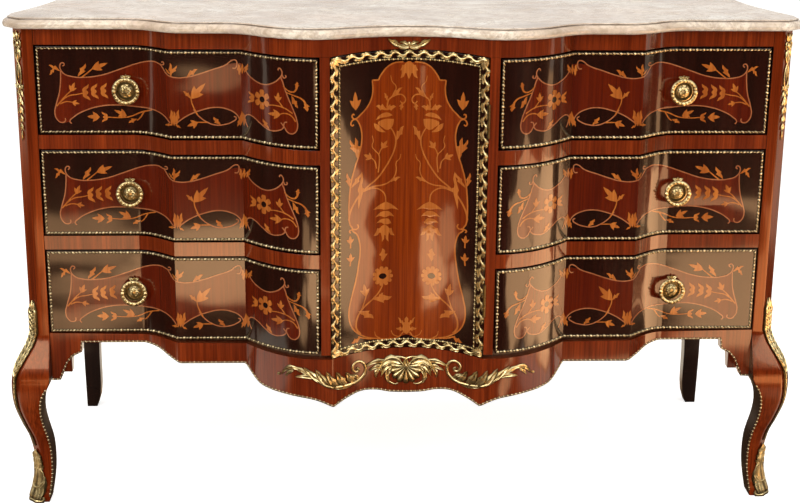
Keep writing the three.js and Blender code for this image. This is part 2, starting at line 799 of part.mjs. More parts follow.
// Knee mounts: a leaf over the knee that runs down the canted edge as a narrow strip
function cant_ring(z, width_share, relief) {
  const { outer, front, cant } = leg_section(z);
  const centre = [outer - cant / 2, front + cant / 2];
  const half = (cant * Math.SQRT1_2) * width_share;
  const at = (along, out) => [
    centre[0] + (along + out) * Math.SQRT1_2, centre[1] + (along - out) * Math.SQRT1_2, z,
  ];
  return [at(-half, fit + relief), at(half, fit + relief), at(half, fit), at(-half, fit)];
}
{
  const ring_height = floor_height / leg_rings;
  const first = Math.round(knee_mount_start_share * leg_rings);
  const [narrow, wide] = knee_widening_shares.map((at) => first + at * (leg_rings - first));
  const rings = [];
  for (let ring = first; ring <= leg_rings; ring++) {
    const share = THREE.MathUtils.smoothstep(ring, narrow, wide);
    const width = THREE.MathUtils.lerp(edge_strip_width_share, knee_mount_width_share, share);
    rings.push(cant_ring(ring * ring_height, width, mount_relief * (1 + share) / 2));
  }
  const shoulder = floor_height + knee_mount_rise * knee_shoulder_share;
  rings.push(cant_ring(shoulder, knee_mount_width_share, mount_relief));
  rings.push(cant_ring(floor_height + knee_mount_rise, edge_strip_width_share, mount_relief / 2));
  place_pair('knee_mount', 'gilt', lofted(rings));
}

// Sabots: a leaf that wraps the front corner of each foot
const sabot_wrap_shares = [
  [0, 0.62], [0.15, 0.6], [0.35, 0.55], [0.55, 0.36], [0.7, 0.3], [0.85, 0.14], [1, 0.02],
];
{
  const ring_height = floor_height / leg_rings;
  const count = Math.round(sabot_height_share * leg_rings);
  const bevel = Math.tan(Math.PI / 8);
  const rings = [];
  for (let ring = 0; ring <= count; ring++) {
    const z = Math.max(ring * ring_height, fit);
    const { outer, inner, front, cant } = leg_section(z);
    const wrap = (outer - cant - inner) * smooth_read(sabot_wrap_shares, ring / count);
    const path = (out) => [
      [outer - cant - wrap, front - out, z], [outer - cant + out * bevel, front - out, z],
      [outer + out, front + cant - out * bevel, z], [outer + out, front + cant + wrap, z],
    ];
    rings.push([...path(fit + sabot_thickness), ...path(fit).reverse()]);
  }
  place_pair('sabot', 'gilt', lofted(rings));
}

// Apron mounts: a shell in the middle and a leafy scroll to each side
const shell_shares = [
  [0, 0], [0.16, 0.05], [0.2, 0.12], [0.38, 0.1], [0.42, 0.26], [0.5, 0.3], [0.62, 0.22], [0.7, 0.36],
  [0.66, 0.52], [0.8, 0.6], [0.98, 0.68], [1, 0.8], [0.8, 0.82], [0.6, 0.94], [0.3, 1], [0, 0.92],
];
{
  const top = floor_height - shell_drop;
  const right = shell_shares.map(([out, rise]) => (
    [out * shell_half_width, top - (1 - rise) * shell_height]
  ));
  const left = right.slice(1, -1).reverse().map(([x, z]) => [-x, z]);
  const reach = shell_half_width + overrun;
  place('apron_shell', 'gilt', on_front([...right, ...left], -reach, reach, mount_relief));
}
const scroll_shares = [
  [0, 0.5], [0.03, 0.8], [0.1, 0.97], [0.17, 0.9], [0.18, 0.72], [0.13, 0.66], [0.12, 0.78],
  [0.08, 0.8], [0.055, 0.6], [0.1, 0.38], [0.2, 0.2], [0.24, 0.42], [0.3, 0.22], [0.36, 0.48],
  [0.42, 0.26], [0.48, 0.56], [0.54, 0.4], [0.6, 0.72], [0.66, 0.62], [0.76, 0.86], [0.88, 0.8],
  [0.95, 0.62], [1, 0.58], [0.95, 0.45], [0.88, 0.62], [0.78, 0.62], [0.66, 0.42], [0.54, 0.18],
  [0.4, 0.02], [0.26, 0], [0.14, 0.08], [0.05, 0.28],
];
{
  const start = scroll_start_share * opening_inner;
  const low = floor_height - scroll_drop - scroll_height;
  const outline = scroll_shares.map(([out, rise]) => (
    [start + out * scroll_width, low + rise * scroll_height]
  ));
  place_pair('apron_scroll', 'gilt', on_front(
    outline.reverse(), start - overrun, start + scroll_width + overrun, mount_relief,
  ));
}

// Ribbon over the door: two leaves that rise from the middle of the frame
{
  const foot = top_rail_bottom + door_arch + door_gap;
  const head = case_top - door_gap;
  const half = ribbon_width / 2;
  const middle = (foot + head) / 2;
  const right = [
    [half, foot], [ribbon_half_width / 2, middle - half], [ribbon_half_width, head - half],
    [ribbon_half_width - half, head], [ribbon_half_width / 2, middle + half],
    [0, foot + ribbon_width],
  ];
  const left = right.slice(0, -1).reverse().map(([x, z]) => [-x, z]);
  const reach = ribbon_half_width + overrun;
  place('ribbon_mount', 'gilt', on_front([...right, ...left], -reach, reach, mount_relief));
}

// The origin is on the ground below the middle of the chest's overall box
const foremost = Math.min(...marble_outline().map(([, y]) => y));
const rearmost = case_depth + marble_back_overhang;
chest.position.y = -(foremost + rearmost) / 2;

export default chest;
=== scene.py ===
# %% [markdown]
# # A serpentine commode, dressed for its photograph
# The CAD model already has every board, drawer, hinge and mount at its real size.
# This lesson loads it as a fixed frame and gives it its looks: polished veneer, marquetry,
# gilt mounts and a marble slab. Everything is in metres, +Z is up and the front faces -Y.

# %% Load the frame
import math
from contextlib import contextmanager

import bpy
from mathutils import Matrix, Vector


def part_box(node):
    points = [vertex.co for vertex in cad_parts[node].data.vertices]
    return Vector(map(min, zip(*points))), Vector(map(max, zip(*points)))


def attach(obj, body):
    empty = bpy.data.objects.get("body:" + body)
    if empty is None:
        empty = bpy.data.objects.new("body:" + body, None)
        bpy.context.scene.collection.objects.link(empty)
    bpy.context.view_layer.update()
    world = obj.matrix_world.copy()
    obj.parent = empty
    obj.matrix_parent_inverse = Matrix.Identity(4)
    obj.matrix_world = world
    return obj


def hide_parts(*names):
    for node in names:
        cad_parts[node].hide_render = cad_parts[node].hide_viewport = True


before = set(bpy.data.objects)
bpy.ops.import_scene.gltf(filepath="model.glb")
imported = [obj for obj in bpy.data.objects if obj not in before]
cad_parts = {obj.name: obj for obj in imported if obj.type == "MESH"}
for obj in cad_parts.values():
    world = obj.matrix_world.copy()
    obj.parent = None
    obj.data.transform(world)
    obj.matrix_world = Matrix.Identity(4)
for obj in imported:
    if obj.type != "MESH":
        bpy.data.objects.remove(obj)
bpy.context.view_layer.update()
MM = 0.001
SIDES = {"left": -1, "right": 1}
ROWS = ("bottom", "middle", "top")

# %% [markdown]
# ## The camera first
# A render can only be compared with a photograph when both are seen from the same place.
# The place, the turn and the lens below were found by fitting the drawers' straight edges,
# the plumb stiles and the level rails, so the camera comes before any looks.

# %% Camera
bpy.ops.object.camera_add(location=(-0.1288, -2.9727, 1.3206))
camera = bpy.context.active_object
camera.name = "camera"
camera.rotation_euler = (math.radians(90 - 16.442), 0, math.radians(-2.459))
camera.rotation_euler.rotate_axis("Z", math.radians(0.532))
camera.data.lens = 70.47
bpy.context.scene.camera = camera
bpy.context.scene.view_settings.view_transform = "Standard"
print("camera lens", round(camera.data.lens, 2), "mm")

# %% [markdown]
# ## Small tools for the bench
# Operators act on whatever is selected, so each step starts by selecting just one piece.
# A CAD node may not be changed. Where its shape is right but its faces are too coarse to shine
# well, a copy of it is cleaned, smoothed and put in its place.

# %% Selecting and finishing pieces
WELD = 0.00001


def only(piece):
    """Select this piece and nothing else."""
    bpy.ops.object.select_all(action="DESELECT")
    piece.select_set(True)
    bpy.context.view_layer.objects.active = piece


def linked(piece):
    bpy.context.scene.collection.objects.link(piece)
    return piece


def settle(piece, name=None):
    """Put the piece's place, turn and size into its mesh."""
    only(piece)
    bpy.ops.object.transform_apply(location=True, rotation=True, scale=True)
    if name:
        piece.name = name
    return piece


def copy_of(piece, name, place):
    """A copy of a settled piece at another place."""
    only(piece)
    bpy.ops.object.duplicate()
    copy = bpy.context.active_object
    copy.location = place
    return settle(copy, name)


def join(pieces, name):
    """Make one piece of several."""
    only(pieces[0])
    for piece in pieces:
        piece.select_set(True)
    if len(pieces) > 1:
        bpy.ops.object.join()
    joined = bpy.context.active_object
    joined.name = name
    return joined


def smooth(piece, angle=30):
    only(piece)
    bpy.ops.object.shade_smooth_by_angle(angle=math.radians(angle))
    return piece


def modified(piece, kind, **settings):
    """Give the piece one modifier with these settings, and apply it."""
    only(piece)
    modifier = piece.modifiers.new(kind.lower(), kind)
    for setting, value in settings.items():
        setattr(modifier, setting, value)
    bpy.ops.object.modifier_apply(modifier=modifier.name)
    return piece


def eased(piece, width=0.0008, limit=50, angle=30):
    """Ease the sharp edges, unless the width is 0, and smooth the rest; large flat faces stay flat."""
    if width:
        modified(
            piece, "BEVEL", width=width, segments=2, limit_method="ANGLE", angle_limit=math.radians(limit),
        )
    return modified(smooth(piece, angle), "WEIGHTED_NORMAL", keep_sharp=True, weight=90)


@contextmanager
def editing(piece):
    """Open the piece in edit mode with all of it selected, and close it again."""
    only(piece)
    bpy.ops.object.mode_set(mode="EDIT")
    bpy.ops.mesh.select_all(action="SELECT")
    yield
    bpy.ops.object.mode_set(mode="OBJECT")


def welded(piece, distance=WELD):
    with editing(piece):
        bpy.ops.mesh.remove_doubles(threshold=distance)
    return piece


def turned_over(piece):
    with editing(piece):
        bpy.ops.mesh.flip_normals()
    return piece


def face_outwards(piece):
    with editing(welded(piece)):
        bpy.ops.mesh.normals_make_consistent(inside=False)
    return piece


def node_copy(node, name, angle=30, edge=0.0008):
    """A cleaned and smoothed copy of a CAD node, with its sharp edges eased."""
    only(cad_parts[node])
    bpy.ops.object.duplicate()
    piece = bpy.context.active_object
    for key in list(piece.keys()):
        del piece[key]
    piece.parent = None
    piece.name = piece.data.name = name
    piece.data.materials.clear()
    only(piece)
    bpy.ops.mesh.customdata_custom_splitnormals_clear()
    with editing(welded(piece)):
        bpy.ops.mesh.dissolve_limited(angle_limit=math.radians(0.5))
    return eased(piece, edge, angle, angle)


# %% [markdown]
# ## The line of the front
# In plan the front is flat at the ends, sweeps forward in a step, runs flat again, swells
# forward once more beside the door, and hollows behind the door. Nearly every board and
# ornament follows that line, so it is written once, as a function of the distance from the middle.

# %% Plan of the front
STEP_OUT, SWELL_OUT, HOLLOW = 0.046, 0.084, 0.042
POST_DEPTH = 44 * MM
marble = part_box("marble_top")
case_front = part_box("front_leg_right")[1].y - POST_DEPTH
drawer = [corner.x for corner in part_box("drawer_front_top_right")]
step_outer, step_inner, swell_start = (
    drawer[0] + share * (drawer[1] - drawer[0]) for share in (0.661, 0.524, 0.271)
)
stile_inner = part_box("partition_right")[0].x


def front_y(x):
    """Depth of the front at a distance x from the middle."""
    reach = abs(x)
    if reach >= step_outer:
        return case_front
    if reach >= step_inner:
        t = (step_outer - reach) / (step_outer - step_inner)
        return case_front - STEP_OUT * t * t * (1.6 - 0.6 * t)
    if reach >= swell_start:
        return case_front - STEP_OUT
    if reach >= drawer[0]:
        t = (swell_start - reach) / (swell_start - drawer[0])
        return case_front - STEP_OUT - SWELL_OUT * (1 - (1 - t) ** 2)
    hollow = 0 if reach >= stile_inner else HOLLOW * (1 - (reach / stile_inner) ** 2)
    return case_front - STEP_OUT - SWELL_OUT + hollow


def on_line(x, z):
    return (x, front_y(x), z)


def front_stations(start, end, gap=0.006):
    """Places along the front, close together where it curves, with each crease among them."""
    spans = [
        (0, stile_inner, gap), (stile_inner, drawer[0], 1), (drawer[0], swell_start, gap),
        (swell_start, step_inner, 1), (step_inner, step_outer, gap),
    ]
    places = [start, end]
    for low, high, spacing in spans:
        count = max(1, math.ceil((high - low) / spacing))
        for i in range(count + 1):
            place = low + (high - low) * i / count
            places += [p for p in (place, -place) if start + 0.001 < p < end - 0.001]
    places = sorted(places)
    return [p for i, p in enumerate(places) if i == 0 or p - places[i - 1] > 0.0005]


print("front from", round(front_y(0.7), 4), "to", round(front_y(0.145), 4), "m")

# %% [markdown]
# ## Small tools for finishes
# A finish is a tree of nodes. Each helper adds one node, feeds its inputs with a number, a
# colour or another node's output, and hands back the output that the next node needs.

# %% Shader helpers
def feed(tree, node, inputs):
    """Link or set the inputs of a node, by name or number."""
    for name, value in inputs.items():
        socket = node.inputs[name]
        if isinstance(value, bpy.types.NodeSocket):
            tree.links.new(value, socket)
        else:
            socket.default_value = (*value, 1) if socket.type == "RGBA" else value


def add(tree, kind, inputs, output=0, **settings):
    """Add a shader node and hand back one of its outputs."""
    node = tree.nodes.new("ShaderNode" + kind)
    for setting, value in settings.items():
        setattr(node, setting, value)
    feed(tree, node, inputs)
    return node.outputs[output]


def maths(tree, operation, *values, clamp=False):
    return add(tree, "Math", dict(enumerate(values)), operation=operation, use_clamp=clamp)


def vector_maths(tree, operation, *values):
    return add(tree, "VectorMath", dict(enumerate(values)), operation=operation)


def mix_colour(tree, fac, a, b):
    return add(tree, "Mix", {"Factor": fac, 6: a, 7: b}, 2, data_type="RGBA")


def ramp(tree, fac, *stops):
    """A colour ramp with the given (place, grey or colour) stops."""
    node = tree.nodes.new("ShaderNodeValToRGB")
    elements = node.color_ramp.elements
    while len(elements) < len(stops):
        elements.new(0.5)
    for element, (place, value) in zip(elements, stops):
        element.position = place
        element.color = (*value, 1) if isinstance(value, tuple) else (value, value, value, 1)
    feed(tree, node, {"Fac": fac})
    return node.outputs["Color"]


def noise(tree, vector, scale, detail=3.0, rough=0.5, output="Fac"):
    inputs = {"Vector": vector, "Scale": scale, "Detail": detail, "Roughness": rough}
    return add(tree, "TexNoise", inputs, output)


def band(tree, value, low, high, soft):
    """One between low and high, fading to nothing over a soft edge."""
    sides = []
    for edge, start, end in ((low, 0.0, 1.0), (high, 1.0, 0.0)):
        inputs = {
            "Value": value, "From Min": edge - soft, "From Max": edge + soft, "To Min": start, "To Max": end,
        }
        sides.append(add(tree, "MapRange", inputs, interpolation_type="SMOOTHSTEP"))
    return maths(tree, "MULTIPLY", *sides)


def new_material(name):
    material = bpy.data.materials.new(name)
    material.use_nodes = True
    return material, material.node_tree, material.node_tree.nodes["Principled BSDF"]


# %% [markdown]
# ## Light and floor
# Polished furniture shows what stands round it, so the room matters as much as the lamps.
# The photograph has a white ground, while the varnish mirrors a dim room and a sunlit floor:
# the lowest drawers look milky, the top ones almost black. The floor and the room are
# therefore white for the camera only, and a broad key lamp, a fill and a top lamp light the chest.

# %% Floor
# Each sunlit patch has its two ends across, its two ends in depth, and its brightness.
PATCHES = [
    (-0.72, -0.22, -2.30, -1.52, 6.4), (-1.12, -0.70, -2.24, -1.76, 3.4), (-0.87, -0.76, -1.66, -1.38, 5.0),
    (-0.84, -0.66, -1.38, -1.18, 4.0), (-1.20, -1.00, -1.36, -1.00, 0.8), (0.40, 0.70, -1.02, -0.84, 4.0),
    (0.76, 2.00, -1.88, -0.98, 5.6), (1.25, 3.00, -2.45, -1.50, 5.0), (2.00, 3.00, -1.60, -0.90, 4.4),
    (1.15, 3.30, -1.00, -0.15, 6.4), (3.30, 5.20, -0.85, -0.30, 2.8), (-0.85, -0.58, -5.30, -4.55, 3.4),
]
bpy.ops.mesh.primitive_plane_add(size=30, location=(0, 0, 0))
floor = settle(bpy.context.active_object, "floor")
floor_paint, tree, paint = new_material("floor paint")
feed(tree, paint, {"Base Color": (0.80, 0.80, 0.80), "Roughness": 0.9, "Specular IOR Level": 0.0})
to_camera = add(tree, "LightPath", {}, "Is Camera Ray")
seen = add(tree, "Emission", {"Strength": maths(tree, "MULTIPLY", to_camera, 0.72)})
place = add(tree, "TexCoord", {}, "Object")
ragged = vector_maths(tree, "SUBTRACT", noise(tree, place, 2.6, output="Color"), (0.5, 0.5, 0.5))
torn = vector_maths(tree, "MULTIPLY_ADD", ragged, (0.5, 0.5, 0.0), place)
across = add(tree, "SeparateXYZ", {"Vector": torn}, "X")
along = across.node.outputs["Y"]


def lit_floor(xs, ys, soft=(0.07, 0.06), sideways=across):
    """One on the part of the floor between these places across and in depth."""
    return maths(tree, "MULTIPLY", band(tree, sideways, *xs, soft[0]), band(tree, along, *ys, soft[1]))


def brightest(first, *others):
    for other in others:
        first = maths(tree, "MAXIMUM", first, other)
    return first


# The sunlit patches are painted light: the floor glows with them for glossy rays only, so the varnish mirrors
# them.
sunlit = 0.0
for x0, x1, y0, y1, weight in PATCHES:
    sunlit = brightest(sunlit, maths(tree, "MULTIPLY", lit_floor((x0, x1), (y0, y1)), weight))
open_floor = brightest(
    lit_floor((1.5, 12.0), (-0.80, -0.35), (0.3, 0.06)),
    lit_floor((-12.0, -3.4), (-1.10, -0.70), (0.3, 0.06)),
    band(tree, along, 0.40, 20.0, 0.10),
    lit_floor((0.80, 1.30), (-0.80, 9.0), (0.08, 0.10), maths(tree, "ABSOLUTE", across)),
)
shaded = maths(tree, "SUBTRACT", 1.0, sunlit, clamp=True)
tint = mix_colour(tree, maths(tree, "MULTIPLY", open_floor, shaded), (1.0, 0.56, 0.27), (1.0, 0.84, 0.66))
glow = maths(tree, "ADD", brightest(sunlit, open_floor), 0.06)
mirrored = add(tree, "Emission", {"Color": tint, "Strength": glow})
lit = add(tree, "AddShader", {0: paint.outputs["BSDF"], 1: seen})
blend = add(tree, "MixShader", {0: to_camera.node.outputs["Is Glossy Ray"], 1: lit, 2: mirrored})
feed(tree, tree.nodes["Material Output"], {"Surface": blend})
floor.data.materials.append(floor_paint)

# %% Room
world = bpy.data.worlds.new("room")
bpy.context.scene.world = world
world.use_nodes = True
tree = world.node_tree
height = add(tree, "SeparateXYZ", {"Vector": add(tree, "TexCoord", {}, "Generated")}, "Z")
behind = ramp(tree, height.node.outputs["Y"], (0.10, 0.0), (0.45, 1.0))
above = ramp(tree, height, (0.05, 0.0), (0.35, 1.0))
to_camera = add(tree, "LightPath", {}, "Is Camera Ray")
bright = maths(tree, "MAXIMUM", behind, above)
mirrored = maths(tree, "MULTIPLY", to_camera.node.outputs["Is Glossy Ray"], bright)
room = ramp(
    tree, height, (0.0, (0.08, 0.06, 0.04)), (0.18, (0.16, 0.13, 0.10)), (0.40, (0.90, 0.88, 0.84)),
    (1.0, (1.0, 0.98, 0.95)),
)
feed(tree, tree.nodes["Background"], {"Color": room, "Strength": 0.55})
blend = add(tree, "MixShader", {
    0: maths(tree, "ADD", to_camera, mirrored, clamp=True), 1: tree.nodes["Background"].outputs[0],
    2: add(tree, "Background", {"Color": (1, 1, 1)}),
})
feed(tree, tree.nodes["World Output"], {"Surface": blend})

# %% Lamps
def lamp(name, place, aim, size, power, colour=(1, 1, 1)):
    """A soft rectangular lamp that looks at a point."""
    bpy.ops.object.light_add(type="AREA", location=place)
    light = bpy.context.active_object
    light.name = name
    light.data.shape = "RECTANGLE"
    light.data.size, light.data.size_y = size
    light.data.energy = power
    light.data.color = colour
    light.rotation_euler = (Vector(aim) - Vector(place)).to_track_quat("-Z", "Y").to_euler()


lamp("key lamp", (-2.2, -3.6, 2.6), (0, 0, 0.45), (3.2, 2.6), 118, (1.0, 0.96, 0.90))
lamp("fill lamp", (2.8, -3.2, 2.0), (0, 0, 0.4), (2.8, 2.4), 82, (1.0, 0.95, 0.88))
lamp("top lamp", (0, -0.4, 3.6), (0, 0, 0.9), (3.0, 2.0), 38)

# %% [markdown]
# ## Finishes
# The wood figure is needed in several finishes. It is built once as a node group with named
# inputs, and every veneer sets its own values.

# %% Grain group
def grain_group():
    """Lengthwise wood figure: broad bands, fine lines and short dark pores."""
    tree = bpy.data.node_groups.new("wood figure", "ShaderNodeTree")
    for name, kind, way in (
        ("Vector", "Vector", "INPUT"), ("Band scale", "Float", "INPUT"), ("Line scale", "Float", "INPUT"),
        ("Bands", "Float", "OUTPUT"), ("Lines", "Float", "OUTPUT"), ("Pores", "Float", "OUTPUT"),
    ):
        tree.interface.new_socket(name=name, in_out=way, socket_type="NodeSocket" + kind)
    start = tree.nodes.new("NodeGroupInput").outputs

    def figure(scale, squeeze, low, high):
        stretched = add(tree, "Mapping", {"Vector": start["Vector"], "Scale": (1, 1, squeeze)})
        return ramp(tree, noise(tree, stretched, scale, 4.0, 0.55), (low, 0.0), (high, 1.0))

    feed(tree, tree.nodes.new("NodeGroupOutput"), {
        "Bands": figure(start["Band scale"], 0.06, 0.30, 0.70),
        "Lines": figure(start["Line scale"], 0.02, 0.32, 0.68),
        "Pores": figure(620.0, 0.05, 0.58, 0.70),
    })
    return tree


wood_figure = grain_group()

# %% Wood finishes
def wood(name, light, dark, pore, gloss=0.16, coat=1.0, band=34.0):
    """Polished veneer with its grain upright."""
    material, tree, shader = new_material(name)
    place = add(tree, "TexCoord", {}, "Object")
    inputs = {"Vector": place, "Band scale": band, "Line scale": 300.0}
    bands = add(tree, "Group", inputs, "Bands", node_tree=wood_figure)
    figure = bands.node.outputs
    colour = mix_colour(tree, bands, dark, light)
    for marks, share in (("Lines", 0.70), ("Pores", 0.35)):
        colour = mix_colour(tree, maths(tree, "MULTIPLY", figure[marks], share), colour, pore)
    feed(tree, shader, {
        "Base Color": colour,
        "Roughness": ramp(tree, noise(tree, place, 9.0, 2.0), (0.3, gloss * 0.75), (0.8, gloss * 1.5)),
        "Specular IOR Level": 0.2 if coat else 0.5,
        "Coat Weight": coat,
        "Coat Roughness": 0.04,
        "Coat IOR": 1.5,
        "Normal": add(tree, "Bump", {"Strength": 0.12, "Distance": 0.0004, "Height": figure["Lines"]}),
    })
    return material


RAIL_TONES = (0.245, 0.034, 0.005), (0.118, 0.012, 0.002), (0.042, 0.004, 0.001)
rail_veneer = wood("rail veneer", *RAIL_TONES)
leg_veneer = wood("leg veneer", *RAIL_TONES, gloss=0.12, coat=0.20)
feed(leg_veneer.node_tree, leg_veneer.node_tree.nodes["Principled BSDF"], {
    "Specular IOR Level": 0.65, "Specular Tint": (1.0, 0.52, 0.26),
})
ground_veneer = wood("ground veneer", (0.024, 0.004, 0.002), (0.010, 0.002, 0.001), (0.006, 0.001, 0.001))
field_veneer = wood("field veneer", (0.135, 0.012, 0.001), (0.070, 0.005, 0.001), (0.040, 0.003, 0.001))
door_veneer = wood("door veneer", (0.26, 0.038, 0.002), (0.14, 0.014, 0.001), (0.08, 0.008, 0.001), band=14)
light_inlay = wood("light inlay", (0.52, 0.16, 0.026), (0.33, 0.08, 0.01), (0.22, 0.05, 0.008), band=60)
line_inlay = wood("line inlay", (0.42, 0.15, 0.06), (0.28, 0.08, 0.028), (0.24, 0.07, 0.024), band=60)
inner_wood = wood("inner wood", (0.42, 0.25, 0.13), (0.33, 0.18, 0.09), (0.22, 0.11, 0.05), gloss=0.5, coat=0)
dark_wood = wood(
    "dark wood", (0.030, 0.012, 0.008), (0.016, 0.007, 0.005), (0.010, 0.005, 0.004), gloss=0.28, coat=0.6,
)

# %% [markdown]
# ## Gilt metal and stone
# Old gilding is bright where hands and dusters touch it; its hollows are painted dark, as shade with some
# patina.
# The marble is cream with grey and rosy streaks that run with the length of the slab.

# %% Gilding
def gilding(name, bright, dull, rough=0.30):
    """Worn gilding with painted shade, partly patina: dark where the attribute called relief says that the
    metal lies deep.
    """
    material, tree, shader = new_material(name)
    place = add(tree, "TexCoord", {}, "Object")
    colour = mix_colour(tree, ramp(tree, noise(tree, place, 70.0), (0.35, 0.0), (0.65, 1.0)), dull, bright)
    specks = noise(tree, place, 240.0)
    dirt = ramp(tree, specks, (0.56, 0.0), (0.72, 0.7))
    colour = mix_colour(tree, dirt, colour, tuple(c * 0.35 for c in dull))
    relief_height = add(tree, "Attribute", {}, "Fac", attribute_name="relief")
    # Painted shade: where the relief is low, the colour goes down to about a fifth of the dull gilt, partly
    # as patina.
    raised = ramp(tree, relief_height, (0.05, 0.0), (0.70, 1.0))
    feed(tree, shader, {
        "Base Color": mix_colour(tree, raised, tuple(c * 0.22 for c in dull), colour),
        "Metallic": 1.0,
        "Roughness": ramp(tree, specks, (0.3, rough * 0.8), (0.7, rough * 1.5)),
        "Normal": add(tree, "Bump", {"Strength": 0.25, "Distance": 0.0004, "Height": specks}),
    })
    return material


gilt = gilding("gilt mount", (0.88, 0.72, 0.38), (0.46, 0.34, 0.15))
bead_gilt = gilding("gilt bead", (0.80, 0.66, 0.40), (0.42, 0.32, 0.17), rough=0.36)

# %% Marble
def marble_finish(name="cream marble", shade=1.0):
    """Streaked marble; a shade under one darkens it as painted shadow, for the bottom of a sunk line."""
    material, tree, shader = new_material(name)
    place = add(tree, "TexCoord", {}, "Object")
    place = add(tree, "Mapping", {"Vector": place, "Scale": (1.0, 1.6, 1.6)})
    warp = noise(tree, place, 3.0, output="Color")
    bent = vector_maths(tree, "MULTIPLY_ADD", warp, (0.25, 0.25, 0.25), place)
    colour = ramp(
        tree, noise(tree, bent, 9.0, 6.0, 0.62), (0.30, (0.38, 0.29, 0.21)), (0.43, (0.55, 0.44, 0.34)),
        (0.54, (0.70, 0.60, 0.48)), (0.70, (0.81, 0.75, 0.65)),
    )
    streaks = noise(tree, bent, 26.0, 5.0, 0.6)
    for marks, stops, tone in (
        (streaks, ((0.50, 0.0), (0.56, 0.7), (0.60, 0.0)), (0.46, 0.37, 0.31)),
        (noise(tree, bent, 4.0), ((0.45, 0.0), (0.75, 0.45)), (0.74, 0.52, 0.38)),
        (noise(tree, bent, 75.0, 5.0, 0.7), ((0.40, 0.65), (0.55, 0.0)), (0.40, 0.30, 0.21)),
    ):
        colour = mix_colour(tree, ramp(tree, marks, *stops), colour, tone)
    feed(tree, shader, {
        "Base Color": mix_colour(tree, 1 - shade, colour, (0.08, 0.05, 0.035)),
        "Roughness": ramp(tree, streaks, (0.35, 0.16), (0.7, 0.34)),
        "Normal": add(tree, "Bump", {"Strength": 0.15, "Distance": 0.0006, "Height": streaks}),
    })
    return material


cream_marble = marble_finish()
groove_shadow_marble = marble_finish("sunk line", 0.3)
print("finishes:", len(bpy.data.materials))

# %% Dressing a piece
def dress(piece, material, body, *nodes, slot):
    """Give a piece its finish and body, and hide the CAD nodes that it stands for."""
    piece.data.materials.clear()
    piece.data.materials.append(material)
    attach(piece, body)
    if nodes:
        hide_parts(*nodes)
    return piece


# %% [markdown]
# ## Drawing in the plane of the front
# A marquetry cutter draws flat, cuts the veneers, and only then presses them on the curved
# ground. The same order works here. A drawn curve gives a filled shape or a ribbon in the
# upright plane, its long faces are cut where the front bends, and each point then moves back
# to the line of the front.

# %% Drawing tools
TRIM_REACH = 0.4


def polyline(name, points, cyclic=False, dimensions="3D"):
    """A curve of straight runs through the points."""
    curve = bpy.data.curves.new(name, "CURVE")
    curve.dimensions = dimensions
    spline = curve.splines.new("POLY")
    spline.points.add(len(points) - 1)
    for point, place in zip(spline.points, points):
        point.co = (*place, 1)
    spline.use_cyclic_u = cyclic
    return linked(bpy.data.objects.new(name, curve))


def drawn_curve(name, lines, cyclic, steps):
    """Smooth lines through (x, z) or (x, z, width) points, in metres, in the upright plane."""
    curve = bpy.data.curves.new(name, "CURVE")
    curve.dimensions = "2D"
    curve.resolution_u = steps
    for line in lines:
        spline = curve.splines.new("BEZIER")
        spline.bezier_points.add(len(line) - 1)
        for point, place in zip(spline.bezier_points, line):
            sharp = cyclic and len(place) > 2
            point.co = (place[0], place[1], 0)
            point.handle_left_type = point.handle_right_type = "VECTOR" if sharp else "AUTO"
            point.radius = place[2] if len(place) > 2 and not cyclic else 1.0
        spline.use_cyclic_u = cyclic
    return linked(bpy.data.objects.new(name, curve))


def as_mesh(piece):
    only(piece)
    bpy.ops.object.convert(target="MESH")
    return bpy.context.active_object


def upright(piece, sheet=True):
    """Turn a drawn curve into a mesh that stands in the plane y = 0; a flat sheet then faces -Y."""
    piece.rotation_euler = (math.radians(90), 0, 0)
    piece = welded(settle(as_mesh(piece)), 0.00002)
    turned = [p.index for p in piece.data.polygons if p.normal.y > 0] if sheet else []
    if turned:
        with editing(piece):
            bpy.ops.mesh.select_all(action="DESELECT")
        for index in turned:
            piece.data.polygons[index].select = True
        bpy.ops.object.mode_set(mode="EDIT")
        bpy.ops.mesh.flip_normals()
        bpy.ops.object.mode_set(mode="OBJECT")
    return piece


def filled(name, loops, steps=5):
    piece = drawn_curve(name, loops, True, steps)
    piece.data.fill_mode = "BOTH"
    return upright(piece)


pen = polyline("pen", [(-0.5, 0, 0), (0.5, 0, 0)], dimensions="2D")
pen.hide_render = True


def ribbon(name, lines, steps=5):
    """Flat ribbons whose width at each point is the point's third number."""
    piece = drawn_curve(name, lines, False, steps)
    piece.data.fill_mode = "NONE"
    piece.data.bevel_mode = "OBJECT"
    piece.data.bevel_object = pen
    return upright(piece)


def cut_at(piece, places):
    """Cut a flat piece along upright lines at these x places."""
    xs = [v.co.x for v in piece.data.vertices]
    low, high = min(xs), max(xs)
    with editing(piece):
        for x in places:
            if low + 0.0003 < x < high - 0.0003:
                bpy.ops.mesh.select_all(action="SELECT")
                bpy.ops.mesh.bisect(plane_co=(x, 0, 0), plane_no=(1, 0, 0))
    return piece


def follow_front(piece, lift):
    """Move each point back to the line of the front, and lift it off by a hair."""
    for vertex in piece.data.vertices:
        vertex.co.y += front_y(vertex.co.x) - lift
    return piece


def front_board(name, x0, x1, z0, z1, thickness=0.022):
    """An upright board whose face follows the front."""
    piece = as_mesh(polyline(name, [on_line(x, z0) for x in front_stations(x0, x1)]))
    with editing(piece):
        bpy.ops.mesh.extrude_region_move(TRANSFORM_OT_translate={"value": (0, 0, z1 - z0)})
        bpy.ops.mesh.select_all(action="SELECT")
        bpy.ops.mesh.normals_make_consistent(inside=False)
    if sum(p.normal.y * p.area for p in piece.data.polygons) > 0:
        turned_over(piece)
    return modified(piece, "SOLIDIFY", thickness=thickness, offset=-1)


